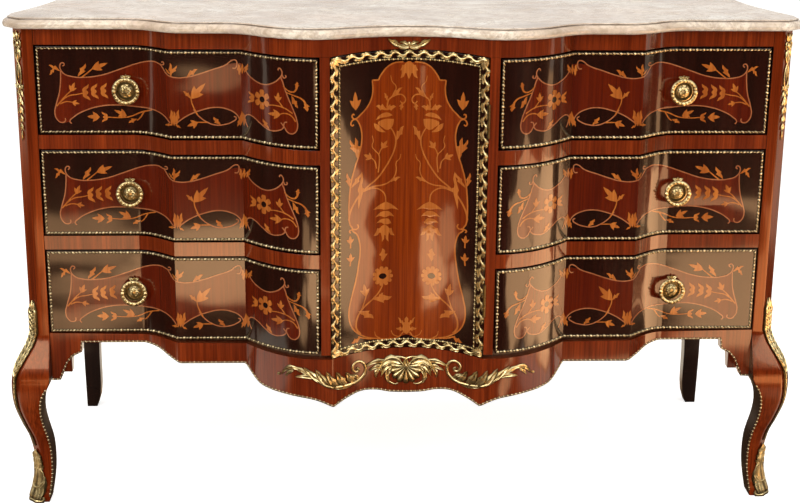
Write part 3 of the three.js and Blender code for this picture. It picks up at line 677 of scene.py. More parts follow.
def trimmed(piece, outline):
    """Keep what lies inside an outline drawn in the upright plane."""
    block = polyline("trim block", [(x, z, 0) for x, z in outline], True, "2D")
    block.data.fill_mode = "BOTH"
    block.data.extrude = TRIM_REACH
    block.rotation_euler = (math.radians(90), 0, 0)
    block = face_outwards(settle(as_mesh(block)))
    modified(piece, "BOOLEAN", operation="INTERSECT", solver="EXACT", object=block)
    bpy.data.objects.remove(block)
    return piece


# %% [markdown]
# ## Boards of the front
# The drawer fronts, rails and door are the pieces that catch the light, so they are built
# again on the same line as the CAD boards, with more places along each curve.
# The apron and the rail over the door are cut to their shaped edges afterwards.

# %% Drawer fronts and the rails between them
RAIL_HEIGHT, PROUD = 0.026, 0.0002

for side in SIDES:
    for row in ROWS:
        node = f"drawer_front_{row}_{side}"
        low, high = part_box(node)
        piece = eased(front_board(f"front_{row}_{side}", low.x, high.x, low.z, high.z))
        dress(piece, ground_veneer, f"drawer_{row}_{side}", node, slot="marquetry")
for side in SIDES:
    for row in ROWS[:2]:
        low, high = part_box(f"dust_board_above_{row}_{side}")
        piece = front_board(f"rail_above_{row}_{side}", low.x, high.x, high.z - RAIL_HEIGHT, high.z)
        piece.location.y = -PROUD
        dress(eased(settle(piece)), rail_veneer, "carcass", slot="veneer")

# %% Top rail
ARCH_RISE, PAST, DRAWER_GAP = 0.008, 0.01, 0.003


def arch(half, ends, rise=ARCH_RISE, count=24):
    """A shallow arch from one end to the other, as (x, z) points."""
    shares = [2 * i / count - 1 for i in range(count + 1)]
    return [(share * half, ends + rise * (1 - share ** 2)) for share in shares]


rail_low, rail_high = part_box("top_rail")
rail_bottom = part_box("drawer_front_top_right")[1].z + DRAWER_GAP
outline = [
    (rail_low.x, rail_bottom), *arch(stile_inner, rail_bottom), (rail_high.x, rail_bottom),
    (rail_high.x, rail_high.z), (rail_low.x, rail_high.z),
]
top_rail = front_board("rail_top", rail_low.x, rail_high.x, rail_bottom - PAST, rail_high.z + PAST)
dress(eased(trimmed(top_rail, outline)), rail_veneer, "carcass", "top_rail", slot="veneer")

# %% Apron
# The edge is drawn from the middle outwards: shares of the reach, and of the drop below the top.
LOBE = [(0, 0.87), (0.045, 0.85), (0.083, 0.79), (0.124, 0.78), (0.163, 0.87), (0.2, 1)]
SWELL = [(0.2, 1), (0.253, 0.85), (0.317, 0.8), (0.377, 0.77), (0.412, 0.7), (0.448, 0.44)]
STEP = [(0.627, 0.44), (0.664, 0.35), (0.694, 0.25), (0.732, 0.188)]
EARS = [(1, 0.2), (0.98, 0.4), (0.7, 0.49), (0.53, 0.62), (0.27, 0.99), (0, 1)]
apron_low, apron_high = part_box("apron")
REACH, DROP, EAR, EAR_DROP = apron_high.x, 0.101, 0.059, 0.094


def smooth_through(places, steps=4):
    """A smooth run of points through a few places."""
    made = []
    last = len(places) - 1
    for i in range(last):
        corners = [places[min(max(k, 0), last)] for k in (i - 1, i, i + 1, i + 2)]
        for t in (k / steps for k in range(steps)):
            made.append(tuple(
                0.5 * (
                    2 * b + (c - a) * t + (2 * a - 5 * b + 4 * c - d) * t * t
                    + (3 * b - a - 3 * c + d) * t ** 3
                )
                for a, b, c, d in zip(*corners)
            ))
    return made + [places[-1]]


edge = [
    (x * REACH, apron_high.z - drop * DROP)
    for x, drop in smooth_through(LOBE) + smooth_through(SWELL)[1:] + smooth_through(STEP)
] + [(REACH - a * EAR, apron_high.z - drop * EAR_DROP) for a, drop in EARS]
outline = (
    [(-x, z) for x, z in reversed(edge[1:])] + edge
    + [(REACH, apron_high.z), *reversed(arch(stile_inner, apron_high.z - ARCH_RISE)), (-REACH, apron_high.z)]
)
apron = front_board("apron_board", -REACH, REACH, apron_low.z - PAST, apron_high.z + PAST)
dress(eased(trimmed(apron, outline)), rail_veneer, "carcass", "apron", slot="veneer")
print("apron faces:", len(apron.data.polygons))

# %% Door leaf
leaf_low, leaf_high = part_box("door_panel")
leaf_half = leaf_high.x


def leaf_edges(margin):
    """The leaf's lower and upper edges, moved in by a margin."""
    levels = (leaf_low.z + margin, leaf_high.z - ARCH_RISE - margin)
    return [arch(leaf_half - margin, level) for level in levels]


def leaf_outline(margin):
    lower, upper = leaf_edges(margin)
    return lower + list(reversed(upper))


door = front_board("door_leaf", -leaf_half, leaf_half, leaf_low.z - PAST, leaf_high.z + PAST, 0.020)
dress(eased(trimmed(door, leaf_outline(0))), ground_veneer, "door", "door_panel", slot="marquetry")

# %% Legs, sides and stiles
INNER_SHADE_FACING = -0.55

for side, sign in SIDES.items():
    for node, name, finish, slot, angle, width in (
        ("front_leg", "leg_front", leg_veneer, "veneer", 24, 0.0022),
        ("side_panel", "side", rail_veneer, "veneer", 30, 0.0008),
        ("partition", "stile", rail_veneer, "veneer", 30, 0.0),
        ("rear_leg", "leg_rear", dark_wood, "dark_wood", 24, 0.0015),
    ):
        piece = node_copy(f"{node}_{side}", f"{name}_{side}", angle, width)
        dress(piece, finish, "carcass", f"{node}_{side}", slot=slot)
    # Painted shade: the faces of each front leg that turn inwards get the dark wood.
    leg = bpy.data.objects[f"leg_front_{side}"].data
    leg.materials.append(dark_wood)
    for polygon in leg.polygons:
        if polygon.normal.x * sign < INNER_SHADE_FACING:
            polygon.material_index = 1

# %% [markdown]
# ## Marquetry motifs
# The cutter's patterns are few: a leaf, a three-lobed bud, a bell flower with flared lips and a
# daisy. Each is drawn once, one unit long, and then placed by the point where it starts and the
# point where it ends. A point with a 0 after it is a sharp corner.

# %% Motifs
SLIM = 0.82
LEAF = [
    (0, 0, 0), (0.20, 0.08), (0.40, 0.17), (0.56, 0.24, 0), (0.58, 0.12), (0.80, 0.13), (1, 0, 0),
    (0.74, -0.05), (0.50, -0.16, 0), (0.42, -0.07), (0.2, -0.07),
]
BUD = [
    (0, 0, 0), (0.12, 0.14), (0.28, 0.30), (0.56, 0.44, 0), (0.50, 0.17, 0), (0.74, 0.13), (1, 0, 0),
    (0.74, -0.13), (0.50, -0.17, 0), (0.56, -0.44, 0), (0.28, -0.30), (0.12, -0.14),
]
BELL = [
    (0.05, 0), (0, 0.3), (0.15, 0.62), (0.42, 0.78), (0.85, 1.05, 0), (0.72, 0.6), (0.48, 0.34), (0.66, 0.1),
    (0.66, -0.1), (0.48, -0.34), (0.72, -0.6), (0.85, -1.05, 0), (0.42, -0.78), (0.15, -0.62), (0, -0.3),
]


def ellipse(centre, radius_x, radius_z, count=10):
    angles = [2 * math.pi * i / count for i in range(count)]
    return [(centre[0] + radius_x * math.cos(a), centre[1] + radius_z * math.sin(a)) for a in angles]


def daisy(centre, radius_x, radius_z, petals, hollow=0.72):
    """Scalloped petals round a hole for the dark eye."""
    rim = []
    for i in range(petals):
        for turn, out in ((0.0, hollow), (0.25, 0.97), (0.5, 1.0), (0.75, 0.97)):
            angle = 2 * math.pi * (i + turn) / petals
            x, z = radius_x * out * math.cos(angle), radius_z * out * math.sin(angle)
            point = (centre[0] + x, centre[1] + z)
            rim.append((*point, 0) if turn == 0 else point)
    return [rim, ellipse(centre, 0.34 * radius_x, 0.30 * radius_z)]


def placed(motif, start, end, width=1.0):
    """A motif laid from one point to another, in millimetres."""
    width *= SLIM
    x, z = end[0] - start[0], end[1] - start[1]
    return [
        (start[0] + a * x - b * width * z, start[1] + a * z + b * width * x, *sharp)
        for a, b, *sharp in motif
    ]


def placed_all(*runs):
    """One drawing for each placed motif."""
    return [[placed(motif, *spec)] for motif, specs in runs for spec in specs]


def stroke(points, first, last):
    """A line whose width runs from first to last, in millimetres."""
    steps = len(points) - 1
    return [(x, z, first + (last - first) * i / steps) for i, (x, z) in enumerate(points)]


def in_metres(lines, side, base=0):
    """Drawing millimetres to metres: side is 1 or -1, base is the height of the drawing's edge."""
    made = []
    for line in lines:
        points = [(side * p[0] * MM, p[1] * MM + base, *(v * MM for v in p[2:])) for p in line]
        made.append(points if side > 0 else list(reversed(points)))
    return made


# %% [markdown]
# ## The drawer pattern
# Every drawer has the same three fields with scrolled corners. Distances run from the middle of
# the chest outwards and from the drawer's lower edge upwards, as they would be pricked through
# from a paper pattern. The right side is drawn first, and the left is the pattern turned over.

# %% Drawer pattern
DRAWER_FIELD = [
    (617, 114, 0), (604, 105), (580, 102), (551, 105), (514, 116), (482, 127), (454, 134), (438, 131),
    (427, 118), (416, 112), (404, 110), (385, 112), (358, 119), (331, 129), (305, 136), (292, 135, 0),
    (281, 119), (268, 110), (254, 106), (238, 110), (226, 119), (220, 128, 0), (213, 98), (202, 70),
    (194, 46), (196, 31), (204, 25), (212, 28), (217, 34, 0), (229, 28), (244, 27), (260, 36), (275, 45),
    (286, 46), (292, 40, 0), (298, 34, 0), (304, 45), (322, 55), (340, 57), (362, 53), (390, 42),
    (409, 29, 0), (416, 26), (423, 30, 0), (437, 42), (460, 48), (501, 51), (533, 51), (565, 46), (588, 37),
    (605, 22, 0), (614, 20), (627, 26), (631, 40), (624, 64), (618, 92),
]
DRAWER_LINES = [
    [(613, 122), (610, 125), (612, 128), (616, 127), (618, 120), (612, 109), (596, 103), (575, 102),
     (545, 106), (514, 116), (482, 127), (460, 133), (447, 134), (436, 131), (430, 132), (431, 136),
     (435, 135)],
    [(437, 132), (432, 125), (424, 115), (410, 110), (388, 111), (372, 115), (345, 124), (320, 133),
     (309, 141), (303, 141), (301, 135), (304, 127), (309, 127)],
    [(288, 130), (281, 119), (268, 110), (254, 106), (238, 110), (226, 119), (220, 128), (221, 135),
     (225, 138), (227, 134)],
    [(214, 127), (213, 124), (217, 122), (220, 126), (218, 112), (211, 91), (202, 70), (195, 50), (194, 36),
     (198, 28), (205, 25), (212, 28), (217, 36), (223, 43)],
    [(212, 45), (216, 44), (219, 34), (229, 28), (244, 27), (260, 36), (273, 45), (282, 47), (288, 42),
     (287, 33), (283, 24)],
    [(298, 26), (298, 34), (304, 45), (320, 54), (340, 57), (362, 53), (390, 42), (412, 27)],
    [(421, 28), (433, 40), (453, 47), (482, 49), (517, 52), (549, 50), (579, 41), (598, 30), (605, 22),
     (602, 18)],
    [(613, 28), (613, 23), (619, 20), (627, 25), (631, 38), (628, 52), (621, 75), (618, 95), (617, 113)],
    [(379, 53), (370, 41), (355, 30), (340, 25), (325, 26), (311, 31), (304, 38), (308, 41)],
]
DRAWER_STEMS = [
    [(627, 50), (614, 63), (603, 69), (591, 71), (577, 74)], [(619, 59), (608, 71), (600, 78)],
    [(621, 54), (610, 58), (599, 57)], [(456, 46), (478, 39), (497, 31), (518, 29), (538, 30)],
    [(471, 41), (480, 28), (485, 24)], [(372, 43), (378, 55), (382, 66), (383, 75)], [(356, 30), (375, 30)],
    [(197, 47), (205, 57), (216, 60), (226, 57)], [(202, 61), (216, 69), (232, 72), (246, 71)],
    [(219, 70), (227, 81)], [(580, 102), (566, 113), (559, 119)], [(506, 30), (511, 36)],
]
DRAWER_TENDRILS = [
    [(218, 108), (209, 100), (200, 99), (195, 105), (194, 115)],
    [(213, 97), (198, 92), (187, 88), (180, 80), (178, 69)],
]
DRAWER_LEAVES = [
    ((617, 113), (638, 124), 1.1), ((627, 121), (637, 106), -1.2), ((587, 103), (572, 127), 1.2),
    ((417, 111), (418, 136), 1.1), ((417, 116), (406, 132), 1.1), ((418, 115), (427, 126), -1.0),
    ((390, 111), (370, 125), -1.3), ((485, 27), (500, 19), 1.6), ((418, 23), (419, 53), 1.0),
    ((414, 23), (414, 50), 1.1), ((410, 24), (405, 53), -1.0), ((417, 26), (431, 23), 1.3),
    ((412, 26), (402, 20), 1.3), ((383, 73), (397, 86), 1.4), ((332, 25), (344, 40), -1.6),
    ((297, 114), (299, 135), 1.2), ((292, 117), (292, 136), 1.2), ((288, 120), (281, 138), 1.2),
    ((297, 23), (294, 51), 1.1), ((302, 22), (298, 38), 1.2), ((290, 24), (291, 48), 1.0),
    ((244, 28), (255, 45), -1.4), ((204, 92), (192, 71), 1.3), ((196, 105), (194, 117), 2.2),
    ((181, 82), (177, 66), -2.2),
]
DRAWER_BUDS = [
    ((562, 117), (533, 128), 0.8), ((601, 76), (593, 93), 1.1), ((600, 57), (586, 54), 1.1),
    ((503, 32), (525, 43), 0.9), ((551, 30), (574, 31), 1.1), ((384, 72), (357, 100), 0.8),
    ((372, 30), (391, 23), 1.1), ((228, 79), (227, 96), 1.1), ((223, 57), (246, 56), 1.05),
]
DRAWER_BELLS = [
    ((580, 74), (565, 75), 1.15), ((565, 76), (550, 77), 1.1), ((548, 77), (533, 78), 1.1),
    ((537, 30), (550, 30), 0.85), ((270, 78), (284, 79), 0.9),
]
DRAWER_DAISY = ((256, 79), 13.5, 17.5, 6)
DRAWER_EYE = ((256, 79), 5, 6)

# %% Marquetry of one drawer, copied to the others
FIELD_LIFT, LINE_LIFT, STEM_LIFT, LEAF_LIFT, TOP_LIFT = 0.0002, 0.0004, 0.000453, 0.0005, 0.0006
LEVEL, SHEET_ANGLE = 0.00001, 25
CUT_REACH, CUT_GAP = 0.75, 0.009
row_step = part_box("drawer_front_top_left")[0].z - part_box("drawer_front_middle_left")[0].z


def marquetry_sheet(name, make, lines, side, base, lift, steps=5):
    places = front_stations(-CUT_REACH, CUT_REACH, CUT_GAP)
    piece = cut_at(make(name, in_metres(lines, side, base), steps), places)
    return smooth(follow_front(piece, lift), SHEET_ANGLE)


def crossing_ribbons(name, lines, side, base, lift, step=0.000008):
    """Ribbons that may cross each other, each laid a hair above the one before."""
    made = [
        marquetry_sheet("ribbon", ribbon, [line], side, base, lift + step * i) for i, line in enumerate(lines)
    ]
    return smooth(join(made, name), SHEET_ANGLE)


def small_sheets(drawings, side, base):
    """Leaves and flowers, laid at five close levels in turn because they may overlap."""
    return [
        marquetry_sheet("flower", filled, loops, side, base, LEAF_LIFT + LEVEL * (i % 5), 3)
        for i, loops in enumerate(drawings)
    ]


def for_each_drawer(piece, material, name, side, slot):
    """Dress a piece of a top drawer, and give the drawers below it a copy."""
    for drop, row in ((2, "bottom"), (1, "middle")):
        copy = copy_of(piece, f"{name}_{row}_{side}", (0, 0, -drop * row_step))
        dress(copy, material, f"drawer_{row}_{side}", slot=slot)
    dress(piece, material, f"drawer_top_{side}", slot=slot)


for side, turn in reversed(SIDES.items()):
    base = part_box(f"drawer_front_top_{side}")[0].z
    field = marquetry_sheet(f"field_top_{side}", filled, [DRAWER_FIELD], turn, base, FIELD_LIFT)
    strokes = [stroke(line, 2.1, 2.1) for line in DRAWER_LINES]
    lines = crossing_ribbons(f"lines_top_{side}", strokes, turn, base, LINE_LIFT)
    stems = [stroke(line, 2.5, 1.7) for line in DRAWER_STEMS]
    stems += [stroke(line, 1.8, 3.8) for line in DRAWER_TENDRILS]
    flowers = [crossing_ribbons("stems", stems, turn, base, STEM_LIFT)]
    motifs = placed_all((LEAF, DRAWER_LEAVES), (BUD, DRAWER_BUDS), (BELL, DRAWER_BELLS))
    flowers += small_sheets(motifs, turn, base)
    petals = daisy(*DRAWER_DAISY, hollow=0.5)
    flowers.append(marquetry_sheet("flower", filled, petals, turn, base, TOP_LIFT, 3))
    flowers = smooth(join(flowers, f"flowers_top_{side}"), SHEET_ANGLE)
    eye = marquetry_sheet(f"eye_top_{side}", filled, [ellipse(*DRAWER_EYE)], turn, base, LEAF_LIFT, 3)
    for piece, veneer, name in (
        (field, field_veneer, "field"), (lines, line_inlay, "lines"), (flowers, light_inlay, "flowers"),
        (eye, ground_veneer, "eye"),
    ):
        for_each_drawer(piece, veneer, name, side, "marquetry")

# %% [markdown]
# ## The door pattern
# The door has one tall waisted field with two plants that mirror each other, so half of it is
# drawn and the other half is the same drawing turned over. Heights run from the lower edge of
# the door opening.

# %% Door pattern
DOOR_FIELD = [
    (0, 526), (26, 524), (37, 519), (46, 509), (51, 501), (53, 496, 0), (64, 496, 0), (63, 478), (66, 462),
    (73, 449), (83, 438), (94, 430, 0), (87, 421), (83, 408), (82, 393), (86, 369), (94, 344), (101, 316),
    (104, 290), (105, 262), (103, 240), (98, 230, 0), (91, 221), (86, 206), (85, 186), (88, 160), (93, 132),
    (101, 100), (105, 76), (103, 56), (95, 40), (80, 28), (60, 21), (32, 18), (14, 21), (0, 25),
]
DOOR_LINES = [
    [(10, 527), (26, 525), (37, 519), (46, 509), (51, 501), (53, 496)],
    [(53, 496), (64, 496)],
    [(64, 496), (63, 478), (66, 462), (73, 449), (83, 438), (94, 430), (99, 433), (98, 438), (95, 437)],
    [(96, 420), (99, 418), (101, 424), (94, 429), (87, 421), (83, 408), (82, 393), (86, 369), (94, 344),
     (101, 316), (104, 290), (105, 262), (103, 240), (99, 231), (104, 228), (102, 224)],
    [(90, 239), (88, 234), (92, 230), (98, 230), (91, 221), (86, 206), (85, 186), (88, 160), (93, 132),
     (101, 100), (105, 76), (103, 56), (95, 40), (80, 28), (60, 21), (32, 18), (14, 21), (6, 30)],
]
DOOR_STEMS = [
    ([(38, 447), (35, 461), (29, 466), (24, 474), (23, 485), (29, 492), (32, 503)], 2.2, 0.8),
    ([(28, 466), (16, 470), (8, 466), (6, 458), (11, 454), (15, 458)], 1.6, 1.6),
    ([(32, 412), (25, 400), (22, 388), (25, 370), (32, 354), (42, 337), (55, 320), (72, 306), (85, 293),
     (96, 277), (103, 261), (105, 248)], 1.7, 2.4),
    ([(53, 331), (51, 349), (52, 363), (58, 370), (64, 379), (62, 388), (64, 398)], 1.8, 0.8),
    ([(52, 363), (49, 371), (45, 377)], 1.5, 1.5),
    ([(56, 338), (59, 351), (66, 359)], 1.5, 1.5),
    ([(76, 301), (61, 306), (45, 308), (33, 313), (24, 323), (21, 334), (21, 348), (15, 355), (13, 363)],
     2.2, 0.8),
    ([(80, 298), (61, 303), (49, 299), (41, 290), (39, 276)], 1.8, 1.6),
    ([(44, 121), (51, 108), (62, 96), (75, 85), (83, 76), (90, 63), (92, 51), (91, 42), (84, 32)], 1.7, 2.6),
    ([(82, 78), (77, 92), (74, 103)], 1.8, 1.5),
    ([(60, 20), (74, 22), (88, 27)], 1.5, 2.2),
    ([(102, 196), (102, 206)], 1.8, 1.8),
    ([(103, 163), (102, 172)], 1.8, 1.8),
    ([(14, 21), (24, 26), (28, 34)], 1.8, 0.8),
    ([(48, 20), (56, 26), (58, 34)], 1.8, 0.8),
]
DOOR_LEAVES = [
    ((32, 464), (11, 482), -1.1), ((37, 458), (43, 473), 1.3), ((11, 456), (13, 441), 1.8),
    ((42, 443), (22, 448), -1.8), ((38, 443), (58, 450), 1.8), ((22, 387), (8, 414), -1.2),
    ((34, 313), (13, 321), -1.3), ((88, 266), (82, 335), 0.5), ((90, 358), (94, 397), 1.0),
    ((91, 366), (103, 394), -1.0), ((102, 306), (108, 335), -1.0), ((101, 306), (82, 333), 0.9),
    ((42, 235), (23, 214), 1.4), ((41, 234), (34, 203), 1.0), ((41, 234), (46, 203), -1.0),
    ((40, 235), (61, 215), -1.4), ((62, 96), (27, 99), 1.5), ((52, 98), (42, 107), -1.4),
    ((88, 76), (60, 59), -1.5), ((84, 25), (101, 17), -1.8), ((3, 40), (16, 59), 0.9),
    ((2, 36), (19, 38), -1.7), ((2, 526), (16, 512), -1.6), ((2, 524), (15, 498), -1.3),
    ((44, 166), (45, 191), 1.9),
]
DOOR_BUDS = [
    ((47, 374), (37, 388), 1.2), ((64, 357), (79, 365), 1.2), ((93, 445), (94, 478), 0.85),
    ((102, 204), (103, 220), 1.2), ((102, 170), (102, 187), 1.2), ((74, 102), (78, 127), 0.95),
]
DOOR_PETALS = [
    [(28, 433, 0), (36, 438), (45, 437), (53, 432), (58, 425, 0), (48, 429), (38, 430)],
    [(26, 426, 0), (36, 427), (47, 425), (54, 420), (46, 412), (38, 407), (31, 410), (27, 417)],
    [(61, 420, 0), (54, 417), (47, 409), (40, 403, 0), (50, 404), (59, 411)],
    [(39, 277, 0), (29, 272), (16, 261, 0), (28, 264), (39, 262), (50, 264), (62, 263, 0), (50, 272)],
    [(24, 249, 0), (32, 258), (39, 260), (48, 258), (58, 249, 0), (49, 251), (40, 248), (33, 251)],
    [(29, 237, 0), (34, 245), (41, 246), (49, 244), (56, 238, 0), (47, 239), (41, 235)],
]
DOOR_MIDDLE = [
    placed(LEAF, (0, 34), (0, 60), 1.3), placed(LEAF, (0, 34), (0, 60), -1.3),
    [(0, 26, 0), (5, 30), (7, 37), (5, 44), (0, 47), (-5, 44), (-7, 37), (-5, 30)],
    [(0, 496, 0), (4, 506), (7, 516), (5, 526), (0, 528), (-5, 526), (-7, 516), (-4, 506)],
]
DOOR_DAISY = ((44, 138.5), 18.5, 18.5, 11)
DOOR_EYE = ((44, 138.5), 7, 5)

# %% Marquetry of the door
door_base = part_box("bottom_board")[1].z
outline = DOOR_FIELD + [(-p[0], *p[1:]) for p in reversed(DOOR_FIELD[1:-1])]
field = marquetry_sheet("field_door", filled, [outline], 1, door_base, FIELD_LIFT)
strokes = [stroke(line, 2.5, 2.5) for line in DOOR_LINES]
strokes += [stroke(line, 1.35 * first, 1.35 * last) for line, first, last in DOOR_STEMS]
petals = placed_all((LEAF, DOOR_LEAVES), (BUD, DOOR_BUDS)) + [[petal] for petal in DOOR_PETALS]
petals.append(daisy(*DOOR_DAISY))
sheets, blooms, eyes = [], [], []
for turn in (1, -1):
    lift = LINE_LIFT + 0.000002 * turn
    sheets.append(crossing_ribbons("lines", strokes, turn, door_base, lift, 0.000004))
    blooms += small_sheets(petals, turn, door_base)
    eyes.append(marquetry_sheet("eye", filled, [ellipse(*DOOR_EYE)], turn, door_base, TOP_LIFT, 3))
for i, loop in enumerate(DOOR_MIDDLE):
    blooms.append(marquetry_sheet("flower", filled, [loop], 1, door_base, TOP_LIFT + LEVEL * i, 3))
for piece, veneer in (
    (field, door_veneer), (smooth(join(sheets, "lines_door"), SHEET_ANGLE), light_inlay),
    (smooth(join(blooms, "flowers_door"), SHEET_ANGLE), light_inlay),
    (join(eyes, "eyes_door"), ground_veneer),
):
    dress(piece, veneer, "door", slot="marquetry")
    print(piece.name, "faces:", len(piece.data.polygons))

# %% [markdown]
# ## Bead mouldings
# A thin gilt moulding runs round every drawer front: round pearls with longer reels between
# them on a half-round strip. One pearl and one reel are modelled, an Array modifier repeats
# them to the length of a path, and a Curve modifier bends the row along it.

# %% Bead row
def record_relief(piece, level):
    """Record how far each point stands out, as one level or by a rule, for the gilding to read; the gilding
    paints shade where the level is low.
    """
    layer = piece.data.attributes.new("relief", "FLOAT", "POINT")
    for item, vertex in zip(layer.data, piece.data.vertices):
        item.value = level(vertex.co) if callable(level) else level
    return piece


def standing_out(full):
    """A rule that gives 0 at the ground and 1 at the full height."""
    return lambda place: max(0.0, min(1.0, -place.y / full))


def bead_unit(pearl, pitch):
    made = []
    reel = ((pitch - 2 * pearl) / 2 - 0.0002, pearl * 0.62, pearl * 0.62)
    for x, scale, level in ((pearl, (pearl,) * 3, 1.0), (pearl + pitch / 2, reel, 0.45)):
        bpy.ops.mesh.primitive_uv_sphere_add(segments=8, ring_count=6, radius=1, location=(x, 0, 0))
        bead = bpy.context.active_object
        bead.scale = scale
        made.append(record_relief(settle(bead), level))
    return join(made, "bead unit")


def beads_along(name, points, cyclic=True, pearl=0.0028, pitch=0.0125, strip=0.0014, lift=0.0010):
    """A bead moulding along points that lie on the surface, raised towards -Y."""
    raised = [(x, y - lift, z) for x, y, z in points]
    path = polyline("bead path", raised, cyclic)
    length = sum(math.dist(a, b) for a, b in zip(raised, raised[1:] + raised[:1] * cyclic))
    count = max(1, round(length / pitch))
    unit = modified(
        bead_unit(pearl, pitch), "ARRAY", count=count, use_relative_offset=False, use_constant_offset=True,
        constant_offset_displace=(length / count, 0, 0),
    )
    modified(unit, "CURVE", object=path, deform_axis="POS_X")
    path.data.bevel_depth = strip
    path.data.bevel_resolution = 1
    return smooth(join([unit, as_mesh(path)], name), 50)


def frame_path(x0, x1, z0, z1, inset):
    """A rectangle on the front, with a point wherever the front bends."""
    xs = front_stations(x0 + inset, x1 - inset)
    return [on_line(x, z0 + inset) for x in xs] + [on_line(x, z1 - inset) for x in reversed(xs)]


for side in SIDES:
    low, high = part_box(f"drawer_front_top_{side}")
    frame_beads = beads_along(f"beads_top_{side}", frame_path(low.x, high.x, low.z, high.z, 0.0030))
    for_each_drawer(frame_beads, bead_gilt, "beads", side, "gilt_brass")
print("faces in one bead frame:", len(frame_beads.data.polygons))

# %% [markdown]
# ## Casting the mounts
# Chased mounts are mostly bundles of tapering strokes: a stem, the ribs of a leaf, the rim of a
# shell. Each stroke is a curve with a round bevel whose thickness varies along it. The strokes
# are drawn flat like the marquetry and pressed against the front.

# %% Cast strokes
MOUNT_LIFT, CAST_ANGLE = 0.0012, 75


def cast(name, lines, steps=3, depth=0.75):
    """Round tapering strokes through (x, z, width) points."""
    piece = drawn_curve(name, lines, False, steps)
    piece.data.dimensions = "3D"
    piece.data.fill_mode = "FULL"
    piece.data.bevel_depth = 0.5
    piece.data.bevel_resolution = 1
    piece.data.use_fill_caps = True
    piece.scale.z = depth
    return record_relief(upright(piece, sheet=False), standing_out(0.0010))


bpy.ops.mesh.primitive_grid_add(x_subdivisions=4, y_subdivisions=7, size=2)
relief = settle(bpy.context.active_object, "relief leaf")


def sheets_joined(sheets, name, full=0.0015, thickness=0.0005):
    """Join thin sheets, close their tips and give them a back."""
    piece = record_relief(welded(join(sheets, name), 0.00003), standing_out(full))
    return modified(piece, "SOLIDIFY", thickness=thickness, offset=-1)


def leaves(name, specs, side=1, rise=0.25):
    """Leaves in relief. Each is a base, a bend, a tip and a width, in millimetres."""
    made = []
    for (ax, az), (bx, bz), (cx, cz), width in specs:
        leaf = relief.copy()
        leaf.data = relief.data.copy()
        for vertex in linked(leaf).data.vertices:
            across, t = vertex.co.x * side, (vertex.co.y + 1) / 2
            x = (1 - t) ** 2 * ax + 2 * t * (1 - t) * bx + t * t * cx
            z = (1 - t) ** 2 * az + 2 * t * (1 - t) * bz + t * t * cz
            dx, dz = (1 - t) * (bx - ax) + t * (cx - bx), (1 - t) * (bz - az) + t * (cz - bz)
            size = math.hypot(dx, dz)
            lobe = 1 + 0.20 * math.cos(4.4 * math.pi * t) if abs(across) > 0.9 else 1
            half = width / 2 * (0.35 * (1 - t) + 0.8 * math.sin(math.pi * t ** 0.85) ** 0.55) * lobe
            ridge = (0.25, 1.0, 0.0)[round(abs(across) * 2)]
            x, z = x + dz / size * half * across, z - dx / size * half * across
            y = -width * rise * ridge * (0.5 + 0.5 * math.sin(math.pi * t))
            vertex.co = (side * x * MM, y * MM, z * MM)
        made.append(leaf)
    return sheets_joined(made, name)


def halves(name, strokes, leafage, sides=(1, -1)):
    """The strokes and leaves of a mount, once for each side."""
    made = []
    for side in sides:
        made += [cast(name, in_metres(strokes, side)), leaves(name, leafage, side)]
    return made


def fan(name, hinge, reach, lobes, span, height):
    """A scallop shell whose ribs spread downwards from its hinge."""
    bpy.ops.mesh.primitive_grid_add(x_subdivisions=lobes * 6, y_subdivisions=7, size=2)
    piece = settle(bpy.context.active_object)
    for vertex in piece.data.vertices:
        across, t = vertex.co.x, (vertex.co.y + 1) / 2
        bump = abs(math.sin(math.pi * lobes * (across + 1) / 2))
        angle = -math.radians(span) * across / 2
        far = reach * (0.86 + 0.14 * bump ** 0.5) * (1 - 0.18 * across * across)
        out = (0.3 + 0.7 * t) * (1 - 0.9 * max(0.0, (t - 0.72) / 0.28) ** 2)
        x, z = hinge[0] + far * t * math.sin(angle), hinge[1] - far * t * math.cos(angle)
        vertex.co = (x * MM, -height * (0.15 + 0.85 * bump ** 0.8) * out * MM, z * MM)
    return sheets_joined([piece], name, height * 0.8 * MM)


def front_mount(name, parts, *nodes):
    """Join the parts of a mount, lay it on the front and dress it."""
    mount = smooth(follow_front(join(parts, name), MOUNT_LIFT), CAST_ANGLE)
    return dress(mount, gilt, "carcass", *nodes, slot="gilt_brass")


# %% Apron shell
SHELL_STROKES = [
    [(0, 318, 4), (5, 320.5, 4), (14, 322, 4), (26, 321, 4), (37, 315, 3.6), (44, 306, 3.2), (46, 296, 2.6)],
    [(3, 303, 2.6), (7, 309, 3.2), (13, 313.5, 3.6), (20, 312, 3.4), (23, 306.5, 3), (19, 302, 2.6),
     (14, 304, 2.2)],
    [(35, 299, 2.6), (37, 290, 3.4), (34, 279, 3.8), (27, 272, 3.6), (19, 269.5, 3), (14, 271, 2.2)],
]
SHELL_LEAVES = [
    ((10, 310), (30, 330), (52, 300), 17), ((16, 304), (36, 316), (46, 286), 13),
    ((20, 300), (30, 303), (36, 280), 9), ((0, 303), (1, 312), (0, 323), 9),
    ((36, 314), (54, 320), (76, 308), 10), ((40, 307), (55, 307), (69, 299), 9),
    ((48, 302), (58, 296), (55, 284), 8), ((34, 292), (38, 282), (28, 270), 8),
]
SHELL_HINGE = [(0, 298, 4), (0, 304, 7), (0, 309, 4)]
parts = [fan("fan", (0, 304), 34, 9, 216, 6.5), cast("hinge", in_metres([SHELL_HINGE], 1))]
front_mount("shell", parts + halves("shell", SHELL_STROKES, SHELL_LEAVES), "apron_shell")

